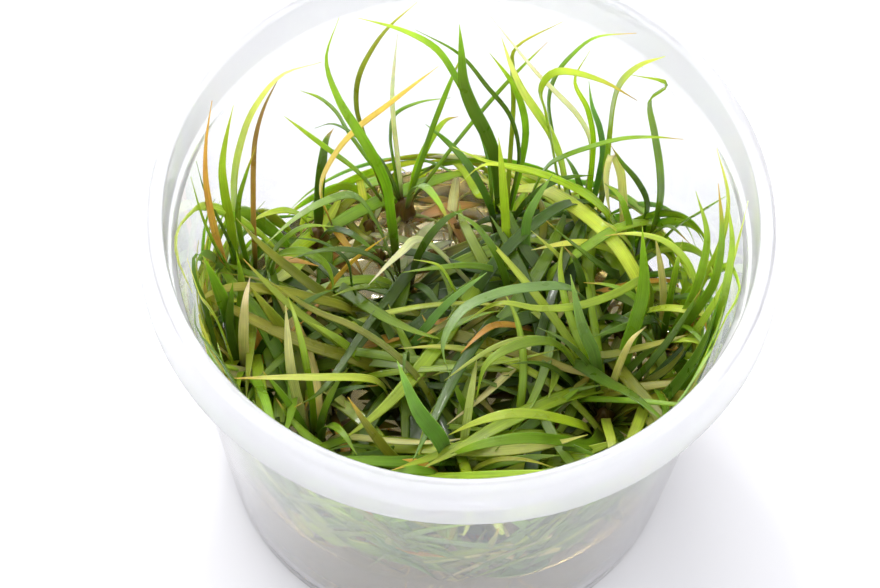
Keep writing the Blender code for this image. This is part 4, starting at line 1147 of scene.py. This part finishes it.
def runner_part(start, end, draw):
    """A thin green runner that leaps from a crown to its daughter: its height is a parabola of its reach."""
    t = np.linspace(0.0, 1.0, RUNNER_JOINTS)[:, None]
    place = np.array(start) + (np.array(end) - np.array(start)) * t
    height = GEL_TOP + RUNNER_HEIGHT + draw.uniform(*RUNNER_LEAP) * 4.0 * t * (1.0 - t)
    points, along = tube_surface(np.hstack([place, height]), RUNNER_RADIUS, RUNNER_RINGS, RUNNER_ROUND)
    tints = np.repeat(np.array([RUNNER_TINT]), len(points), axis=0)
    return points, *shell_faces(RUNNER_RINGS, RUNNER_ROUND), tints, np.column_stack([along, along])


def crown_part(x, y, draw, size=1.0):
    """A ribbed bulb: its radius is a profile of its height times 1 + rib depth times cos of ribs times a."""
    marks, radii = size * np.array(CROWN_PROFILE).T
    height = np.linspace(marks[0], marks[-1], CROWN_RINGS)
    radius = np.interp(height, marks, radii)[:, None]
    angle = np.linspace(0.0, 2.0 * np.pi, CROWN_ROUND, endpoint=False)[None]
    turn = draw.uniform(0.0, CROWN_TURN) + RIB_TURN * height[:, None]
    ribbed = radius * (1.0 + RIB_DEPTH * np.cos(CROWN_RIBS * (angle + turn)))
    level = np.broadcast_to(GEL_TOP + height[:, None], ribbed.shape)
    grid = np.stack([x + ribbed * np.cos(angle), y + ribbed * np.sin(angle), level], axis=-1)
    under, over = CROWN_ENDS
    points = closed_shell(grid, (x, y, GEL_TOP + marks[0] - under), (x, y, GEL_TOP + marks[-1] + over))
    low, high = np.array(BURIED_TINT), np.array(CROWN_TINT)
    share = eased(*CROWN_TINT_FROM, points[:, 2] - GEL_TOP)[:, None]
    tints = low + (high - low) * share
    places = np.column_stack([points[:, 2], points[:, 0]]) / UV_UNIT
    return points, *shell_faces(CROWN_RINGS, CROWN_ROUND), tints, places


def root_part(x, y, number, settings, draw):
    """A thin pale root that leaves the crown's foot and wanders down and out through the gel.

    Its reach goes with a power of t below one and its depth with one above it, so that it bends down.
    """
    heading = NEXT_TURN * number + draw.uniform(-ROOT_SCATTER, ROOT_SCATTER)
    reach = draw.uniform(*ROOT_REACH)
    depth = draw.uniform(*ROOT_DEPTH)
    t = np.linspace(0.0, 1.0, ROOT_JOINTS)
    turn = heading + np.cumsum(draw.uniform(-ROOT_WANDER, ROOT_WANDER, ROOT_JOINTS)) * t
    out = reach * t**ROOT_OUT
    height = GEL_TOP - ROOT_START - depth * t**ROOT_DOWN
    line = np.stack([x + out * np.cos(turn), y + out * np.sin(turn), height], axis=1)
    far = np.hypot(line[:, 0], line[:, 1])
    line[:, :2] *= np.minimum(1.0, (inner_radius(height) - ROOT_CLEAR) / far)[:, None]
    radius = settings.root_radius / MM * draw.uniform(*ROOT_WIDTHS)
    points, along = tube_surface(line, radius, ROOT_RINGS, ROOT_ROUND)
    tint = np.array(ROOT_TINT) * draw.uniform(*ROOT_SHADES)
    tints = np.clip(tint * (1.0 + ROOT_PALER * along[:, None]), 0.0, 1.0)
    return points, *shell_faces(ROOT_RINGS, ROOT_ROUND), tints, np.column_stack([along, along])


def rounded(profile, radius, steps):
    """The profile with each corner but the ends replaced by a short quadratic curve."""
    points = np.array(profile, float)
    rows = [points[:1]]
    s = np.linspace(0.0, 1.0, steps)[:, None]
    for before, corner, after in zip(points[:-2], points[1:-1], points[2:]):
        back, on = before - corner, after - corner
        cut = min(radius, CORNER_SHARE * np.linalg.norm(back), CORNER_SHARE * np.linalg.norm(on))
        start = corner + back / np.linalg.norm(back) * cut
        end = corner + on / np.linalg.norm(on) * cut
        rows.append((1 - s) ** 2 * start + 2 * s * (1 - s) * corner + s**2 * end)
    rows.append(points[-1:])
    return np.vstack(rows)


def turned_surface(profile, around):
    """The profile, radius and height from its start to its end on the axis, turned about the axis."""
    angle = np.linspace(0.0, 2.0 * np.pi, around, endpoint=False)[None]
    radius, height = profile[1:-1, :1], profile[1:-1, 1:]
    level = np.broadcast_to(height, (len(radius), around))
    grid = np.stack([radius * np.cos(angle), radius * np.sin(angle), level], axis=-1)
    first = np.array([0.0, 0.0, profile[0, 1]])
    last = np.array([0.0, 0.0, profile[-1, 1]])
    return closed_shell(grid, first, last), len(radius)


def cup_profile():
    """The cup's outline from under its middle, up the outside, over the rim and down the inside."""
    step = CUP_HEIGHT - STEP_DROP
    skirt = CUP_HEIGHT - SKIRT_DROP
    floor = FOOT_RECESS + WALL
    ledge = STEP_RADIUS + STEP_WIDTH
    flare = STEP_RADIUS + RIM_FLARE
    foot = BASE_RADIUS - FOOT_CHAMFER
    return [
        (0.0, FOOT_RECESS),
        (foot - FOOT_WIDTH - FOOT_RECESS, FOOT_RECESS),
        (foot - FOOT_WIDTH, 0.0),
        (foot, 0.0),
        (BASE_RADIUS, FOOT_CHAMFER),
        (STEP_RADIUS + WALL, step - WALL),
        (ledge + WALL, step + STEP_SLOPE - WALL),
        (flare, CUP_HEIGHT - RIM_WALL),
        (RIM_RADIUS - RIM_ROUND, CUP_HEIGHT - RIM_WALL),
        (SKIRT_RADIUS - WALL, skirt),
        (SKIRT_RADIUS, skirt),
        (RIM_RADIUS + RIM_ROUND, CUP_HEIGHT - 2 * RIM_ROUND),
        (RIM_RADIUS - RIM_ROUND, CUP_HEIGHT),
        (flare, CUP_HEIGHT),
        (ledge + RIM_ROUND, CUP_HEIGHT - 2 * RIM_ROUND),
        (ledge, step + STEP_SLOPE),
        (STEP_RADIUS, step),
        (float(inner_radius(HEEL_HEIGHT)), HEEL_HEIGHT),
        (BASE_RADIUS - WALL - HEEL_WIDTH, floor),
        (0.0, floor),
    ]


def gel_surface():
    """The gel's closed surface: its turned outline, whose top creeps up a little at the wall and the crowns.

    At distance d from the wall, the top is higher by the creep times exp(-d / its reach), and likewise round
    each crown. Two crossing sines make its waves.
    """
    floor = FOOT_RECESS + WALL + GAP
    edge = float(inner_radius(GEL_TOP)) - GAP
    heel = HEEL_HEIGHT + GEL_HEEL
    low = float(inner_radius(heel)) - GAP
    outline = [(0.0, floor), (BASE_RADIUS - WALL - HEEL_WIDTH - GAP, floor), (low, heel), (edge, GEL_TOP)]
    side = rounded(outline, GEL_CORNER, GEL_CORNER_STEPS)
    top = np.column_stack([np.linspace(edge, 0.0, GEL_RINGS), np.full(GEL_RINGS, GEL_TOP)])
    points, rings = turned_surface(np.vstack([side[:-1], top]), GEL_AROUND)
    upper = np.flatnonzero(np.isclose(points[: rings * GEL_AROUND, 2], GEL_TOP))
    x, y = points[upper, 0], points[upper, 1]
    rise = WALL_CREEP * np.exp(-(edge - np.hypot(x, y)) / WALL_CREEP_OVER)
    for crown_x, crown_y in CROWNS.values():
        away = np.maximum(np.hypot(x - crown_x, y - crown_y) - CROWN_CREEP_FROM, 0.0)
        rise += CROWN_CREEP * np.exp(-away / CROWN_CREEP_OVER)
    (along, beside), (back, up) = WAVE_TURNS
    rise += WAVES * np.sin(along * x + beside * y) * np.sin(back * x + up * y)
    points[upper, 2] += rise
    return points, *shell_faces(rings, GEL_AROUND)


def new_material(name):
    """A material with its shader, and its nodes and links to add to."""
    made = bpy.data.materials.new(name)
    made.use_nodes = True
    nodes, links = made.node_tree.nodes, made.node_tree.links
    return made, nodes, links, nodes["Principled BSDF"]


def set_inputs(node, **values):
    """Sets the node's inputs, whose names are written with underscores."""
    for name, value in values.items():
        node.inputs[name.replace("_", " ")].default_value = value


def noise(nodes, links, source, scale, detail):
    """Noise at the source's place, with so many swells to its unit."""
    made = nodes.new("ShaderNodeTexNoise")
    set_inputs(made, Scale=scale, Detail=detail)
    links.new(source, made.inputs["Vector"])
    return made.outputs["Fac"]


def object_noise(nodes, links, scale, detail):
    """Noise in the piece's own metres."""
    return noise(nodes, links, nodes.new("ShaderNodeTexCoord").outputs["Object"], scale, detail)


def spread(nodes, links, value, low, high):
    """The value, taken from 0.3..0.7 to low..high."""
    made = nodes.new("ShaderNodeMapRange")
    set_inputs(made, From_Min=0.3, From_Max=0.7, To_Min=low, To_Max=high)
    links.new(value, made.inputs["Value"])
    return made.outputs["Result"]


def raised(nodes, links, shader, height, strength, distance):
    """Bends the shader's surface by a bump of the height, at most so many metres."""
    bump = nodes.new("ShaderNodeBump")
    set_inputs(bump, Strength=strength, Distance=distance)
    links.new(height, bump.inputs["Height"])
    links.new(bump.outputs["Normal"], shader.inputs["Normal"])


def times(nodes, links, colour, factor):
    """The colour, scaled by the factor."""
    made = nodes.new("ShaderNodeVectorMath")
    made.operation = "SCALE"
    links.new(colour, made.inputs[0])
    links.new(factor, made.inputs["Scale"])
    return made.outputs["Vector"]


def leaf_finish(settings):
    """Leaf tissue: the blade's own tint with veins along it and blotches, satin and a little see-through."""
    made, nodes, links, shader = new_material("leaf tissue")
    tint = nodes.new("ShaderNodeAttribute")
    tint.attribute_name = "tint"
    uv = nodes.new("ShaderNodeUVMap")
    uv.uv_map = "blade"
    stretch = nodes.new("ShaderNodeMapping")
    set_inputs(stretch, Scale=VEIN_SCALE)
    links.new(uv.outputs["UV"], stretch.inputs["Vector"])
    veins = noise(nodes, links, stretch.outputs["Vector"], 1.0, 2.0)
    blotches = object_noise(nodes, links, 260.0, 3.0)
    veined = times(nodes, links, tint.outputs["Color"], spread(nodes, links, veins, 0.74, 1.26))
    blotched = times(nodes, links, veined, spread(nodes, links, blotches, 0.85, 1.15))
    links.new(blotched, shader.inputs["Base Color"])
    links.new(spread(nodes, links, blotches, 0.24, 0.42), shader.inputs["Roughness"])
    raised(nodes, links, shader, veins, 0.25, 0.00008)
    set_inputs(
        shader,
        Subsurface_Weight=settings.glow,
        Subsurface_Radius=(0.6, 1.0, 0.15),
        Subsurface_Scale=0.0008,
        IOR=1.38,
        Coat_Weight=0.1,
        Coat_Roughness=0.08,
    )
    return made


def plastic_finish(name, settings, clear):
    """Milky polypropylene: light goes through it, scattered a little; fine moulding marks in its gloss."""
    made, nodes, links, shader = new_material(name)
    marks = object_noise(nodes, links, 90.0, 4.0)
    marked_haze = spread(nodes, links, marks, settings.haze * 0.9, settings.haze * 1.1)
    links.new(marked_haze, shader.inputs["Roughness"])
    set_inputs(
        shader,
        Base_Color=(*settings.colour, 1.0),
        Transmission_Weight=clear,
        IOR=1.42,
        Subsurface_Weight=1.0,
        Subsurface_Radius=(1.0, 1.0, 1.0),
        Subsurface_Scale=0.002,
    )
    return made


def gel_finish(settings):
    """Slightly cloudy jelly that takes a little blue out of the light on its way through."""
    made, nodes, links, shader = new_material("culture gel")
    raised(nodes, links, shader, object_noise(nodes, links, 160.0, 2.0), 0.2, 0.0002)
    set_inputs(
        shader,
        Base_Color=(*settings.cloud, 1.0),
        Roughness=0.04,
        Transmission_Weight=settings.clear,
        IOR=1.34,
        Subsurface_Weight=1.0,
        Subsurface_Radius=(1.0, 0.8, 0.45),
        Subsurface_Scale=0.006,
    )
    soak = nodes.new("ShaderNodeVolumeAbsorption")
    set_inputs(soak, Color=(*settings.colour, 1.0), Density=settings.depth_of_colour)
    links.new(soak.outputs["Volume"], nodes["Material Output"].inputs["Volume"])
    return made


def table_finish(settings):
    """Plain pale paper, which gives back a little light of its own, as an overlit table does."""
    made, nodes, links, shader = new_material("white table")
    grain = object_noise(nodes, links, 40.0, 2.0)
    links.new(spread(nodes, links, grain, 0.88, 0.92), shader.inputs["Roughness"])
    set_inputs(
        shader,
        Base_Color=(*settings.floor, 1.0),
        Emission_Color=(1.0, 1.0, 1.0, 1.0),
        Emission_Strength=TABLE_GLOW,
    )
    return made


class CupSettings(bpy.types.PropertyGroup):
    """Sizes and finish of the cup."""

    around: IntProperty(name="Sides", description="Steps round the cup", default=176, min=24)
    corner: FloatProperty(
        name="Corner", description="Rounding of its edges", default=0.0005, unit="LENGTH"
    )
    haze: FloatProperty(
        name="Haze", description="How far the wall blurs what is behind it", default=0.045, subtype="FACTOR"
    )
    clear: FloatProperty(
        name="Clearness", description="Share of light that the wall lets through", default=0.97,
        subtype="FACTOR",
    )
    rim_clear: FloatProperty(
        name="Rim clearness", description="The same for the thick rim", default=0.62, subtype="FACTOR"
    )
    colour: FloatVectorProperty(
        name="Colour", description="Tint of the plastic", default=(0.965, 0.968, 1.0), subtype="COLOR",
        size=3,
    )


class GelSettings(bpy.types.PropertyGroup):
    """Finish of the culture gel."""

    colour: FloatVectorProperty(
        name="Colour", description="What light turns to inside it", default=(0.95, 0.84, 0.55),
        subtype="COLOR", size=3,
    )
    depth_of_colour: FloatProperty(
        name="Depth of colour", description="How fast light turns, per metre", default=24.0, min=0.0
    )
    cloud: FloatVectorProperty(
        name="Cloud", description="Colour of its slight cloudiness", default=(0.98, 0.91, 0.6),
        subtype="COLOR", size=3,
    )
    clear: FloatProperty(
        name="Clearness", description="Share of light that goes through it", default=0.93, subtype="FACTOR"
    )


class LeafSettings(bpy.types.PropertyGroup):
    """Sizes and finish of the leaves and roots."""

    thickness: FloatProperty(
        name="Thickness", description="Of a blade at its rib", default=0.00032, unit="LENGTH"
    )
    breadth: FloatProperty(name="Breadth", description="Of a blade, in widths of its solid", default=1.2)
    keel: FloatProperty(
        name="Keel", description="How far a blade is bent to a gutter", default=0.32, subtype="FACTOR"
    )
    twist: FloatProperty(
        name="Twist", description="Most turn of a blade about itself", default=0.8, subtype="ANGLE"
    )
    glow: FloatProperty(
        name="Glow", description="Share of light that spreads inside a blade", default=0.6,
        subtype="FACTOR",
    )
    roots: IntProperty(name="Roots", description="Roots under each crown", default=14, min=0)
    root_radius: FloatProperty(
        name="Root radius", description="At a root's start", default=0.00036, unit="LENGTH"
    )


class StageSettings(bpy.types.PropertyGroup):
    """The table, the light and the camera."""

    world: FloatVectorProperty(
        name="Room light", description="Colour of the light from all round", default=(0.965, 0.97, 1.0),
        subtype="COLOR", size=3,
    )
    room: FloatProperty(name="Room strength", description="Of the light from all round", default=1.5)
    lamp: FloatProperty(name="Lamp", description="Power of the large lamp", default=9.0, unit="POWER")
    spot: FloatProperty(
        name="Spot", description="Power of the small lamp that makes the glints", default=1.2, unit="POWER"
    )
    floor: FloatVectorProperty(
        name="Table", description="Colour of the table", default=(0.62, 0.616, 0.635), subtype="COLOR",
        size=3,
    )


class OBJECT_OT_culture_cup(bpy.types.Operator):
    """Make the moulded cup, with its recessed foot, tapered wall, stacking step and turned-down rim"""

    bl_idname = "object.culture_cup"
    bl_label = "Cup"

    def execute(self, context):
        settings = context.scene.culture_cup
        profile = rounded(cup_profile(), settings.corner / MM, CORNER_STEPS)
        points, rings = turned_surface(profile, settings.around)
        quads, corners = shell_faces(rings, settings.around)
        wall = plastic_finish("milky wall", settings, settings.clear)
        rim = plastic_finish("milky rim", settings, settings.rim_clear)
        cup = new_piece("moulded_cup", [wall, rim], points, quads, corners)
        step = CUP_HEIGHT - STEP_DROP - WALL
        high = points[np.vstack([quads[:, :3], corners])][..., 2].mean(axis=1) > step
        cup.data.polygons.foreach_set("material_index", high.astype(np.int32))
        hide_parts("cup")
        return {"FINISHED"}


class OBJECT_OT_culture_gel(bpy.types.Operator):
    """Make the clear gel that the plantlets stand in"""

    bl_idname = "object.culture_gel"
    bl_label = "Gel"

    def execute(self, context):
        gel = new_piece("clear_gel", [gel_finish(context.scene.culture_gel)], *gel_surface())
        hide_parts("culture_gel")
        return {"FINISHED"}


class OBJECT_OT_long_leaves(bpy.types.Operator):
    """Make the leaves that stand out, each a blade of its own"""

    bl_idname = "object.long_leaves"
    bl_label = "Long leaves"

    def execute(self, context):
        settings = context.scene.culture_leaves
        draw = np.random.default_rng(LONG_SEED)
        finish = leaf_finish(settings)
        for _, name, tint, width, line in solid_leaves():
            if name:
                blade = blade_part(LONG, tint, width, line, settings, draw)
                leaf = new_piece(f"blade_{name}", [finish], *blade)
                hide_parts(name)
        return {"FINISHED"}


class OBJECT_OT_plantlets(bpy.types.Operator):
    """Make each plantlet's crown, roots and lesser leaves, as one piece"""

    bl_idname = "object.plantlets"
    bl_label = "Plantlets"

    def execute(self, context):
        settings = context.scene.culture_leaves
        draw = np.random.default_rng(TUFT_SEED)
        finish = leaf_finish(settings)
        grown = [(crown, *leaf) for crown, name, *leaf in solid_leaves() if not name]
        kinds = (
            (LONG, grown),
            (FINE, filling_leaves()),
            (FALLEN, fallen_leaves()),
            (PRESSED, pressed_leaves()),
        )
        for crown, place in CROWNS.items():
            parts = [crown_part(*place, draw)]
            parts += [root_part(*place, number, settings, draw) for number in range(settings.roots)]
            for near, *spot in daughters():
                if near == crown:
                    parts.append(crown_part(*spot, draw, DAUGHTER_SIZE))
                    parts.append(runner_part(place, spot, draw))
                    parts += [root_part(*spot, number, settings, draw) for number in range(DAUGHTER_ROOTS)]
            for form, leaves in kinds:
                parts += [blade_part(form, *leaf, settings, draw) for near, *leaf in leaves if near == crown]
            tuft = new_piece(f"tuft_{crown}", [finish], *joined(parts))
            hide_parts(crown)
        return {"FINISHED"}


class OBJECT_OT_culture_stage(bpy.types.Operator):
    """Make the white table, the soft light and the camera"""

    bl_idname = "object.culture_stage"
    bl_label = "Stage"

    def execute(self, context):
        settings = context.scene.culture_stage
        scene = context.scene
        scene.view_settings.view_transform = "Standard"
        corners = TABLE_EDGE * np.array([(-1, -1, 0), (1, -1, 0), (1, 1, 0), (-1, 1, 0)])
        mesh = bpy.data.meshes.new("table")
        mesh.from_pydata(corners.tolist(), [], [(0, 1, 2, 3)])
        mesh.materials.append(table_finish(settings))
        table = bpy.data.objects.new("table", mesh)
        scene.collection.objects.link(table)
        world = bpy.data.worlds.new("white room")
        world.use_nodes = True
        back = world.node_tree.nodes["Background"]
        set_inputs(back, Color=(*settings.world, 1.0), Strength=settings.room)
        scene.world = world
        for name, power, place, size in LAMPS:
            self.add_lamp(scene, name, getattr(settings, power), place, size)
        self.add_camera(scene)
        return {"FINISHED"}

    def add_lamp(self, scene, name, power, place, size):
        """A round lamp that faces the point that all lamps shine at."""
        light = bpy.data.lights.new(name, "AREA")
        light.shape = "DISK"
        light.size = size
        light.energy = power
        lamp = bpy.data.objects.new(name, light)
        lamp.location = place
        aim = np.array(LAMP_AIM) - place
        side = np.cross(aim, (0.0, 0.0, 1.0))
        side /= np.linalg.norm(side)
        aim /= np.linalg.norm(aim)
        up = np.cross(side, aim)
        turn = Matrix(np.stack([side, up, -aim], axis=1).tolist())
        lamp.rotation_euler = turn.to_euler()
        scene.collection.objects.link(lamp)

    def add_camera(self, scene):
        """The camera looks down and a little aside, then leans about its own line of sight."""
        down, aside, lean = np.radians((LOOK_DOWN, LOOK_ASIDE, LEAN))
        ahead = np.array([np.sin(aside) * np.cos(down), np.cos(aside) * np.cos(down), -np.sin(down)])
        level = np.array([np.cos(aside), -np.sin(aside), 0.0])
        above = np.cross(level, ahead)
        right = level * np.cos(lean) + above * np.sin(lean)
        up = above * np.cos(lean) - level * np.sin(lean)
        turn = Matrix(np.stack([right, up, -ahead], axis=1).tolist())
        data = bpy.data.cameras.new("camera")
        data.sensor_width = SENSOR
        data.lens = SENSOR * FOCAL_PICTURES
        data.clip_start = NEAREST
        camera = bpy.data.objects.new("camera", data)
        camera.matrix_world = Matrix.Translation(EYE) @ turn.to_4x4()
        scene.collection.objects.link(camera)
        scene.camera = camera


class VIEW3D_PT_culture_cup(bpy.types.Panel):
    """Lists the pieces, with the settings of each"""

    bl_label = "Culture cup"
    bl_idname = "VIEW3D_PT_culture_cup"
    bl_space_type = "VIEW_3D"
    bl_region_type = "UI"
    bl_category = "Culture cup"

    def draw(self, context):
        for operator, group in STEPS:
            box = self.layout.box()
            box.operator(operator)
            settings = getattr(context.scene, group)
            for field in settings.bl_rna.properties:
                if field.identifier not in ("rna_type", "name"):
                    box.prop(settings, field.identifier)


# Each operator in the order that it runs, with the settings that it reads
STEPS = (
    ("object.culture_stage", "culture_stage"),
    ("object.culture_cup", "culture_cup"),
    ("object.culture_gel", "culture_gel"),
    ("object.long_leaves", "culture_leaves"),
    ("object.plantlets", "culture_leaves"),
)
GROUPS = {
    "culture_stage": StageSettings,
    "culture_cup": CupSettings,
    "culture_gel": GelSettings,
    "culture_leaves": LeafSettings,
}
CLASSES = (
    *GROUPS.values(),
    OBJECT_OT_culture_stage,
    OBJECT_OT_culture_cup,
    OBJECT_OT_culture_gel,
    OBJECT_OT_long_leaves,
    OBJECT_OT_plantlets,
    VIEW3D_PT_culture_cup,
)


def register():
    for made in CLASSES:
        bpy.utils.register_class(made)
    for name, group in GROUPS.items():
        setattr(bpy.types.Scene, name, PointerProperty(type=group))


def unregister():
    for name in GROUPS:
        delattr(bpy.types.Scene, name)
    for made in reversed(CLASSES):
        bpy.utils.unregister_class(made)


def main():
    """Makes every piece in order."""
    register()
    for operator, _ in STEPS:
        group, name = operator.split(".")
        getattr(getattr(bpy.ops, group), name)()


if __name__ == "__main__":
    main()
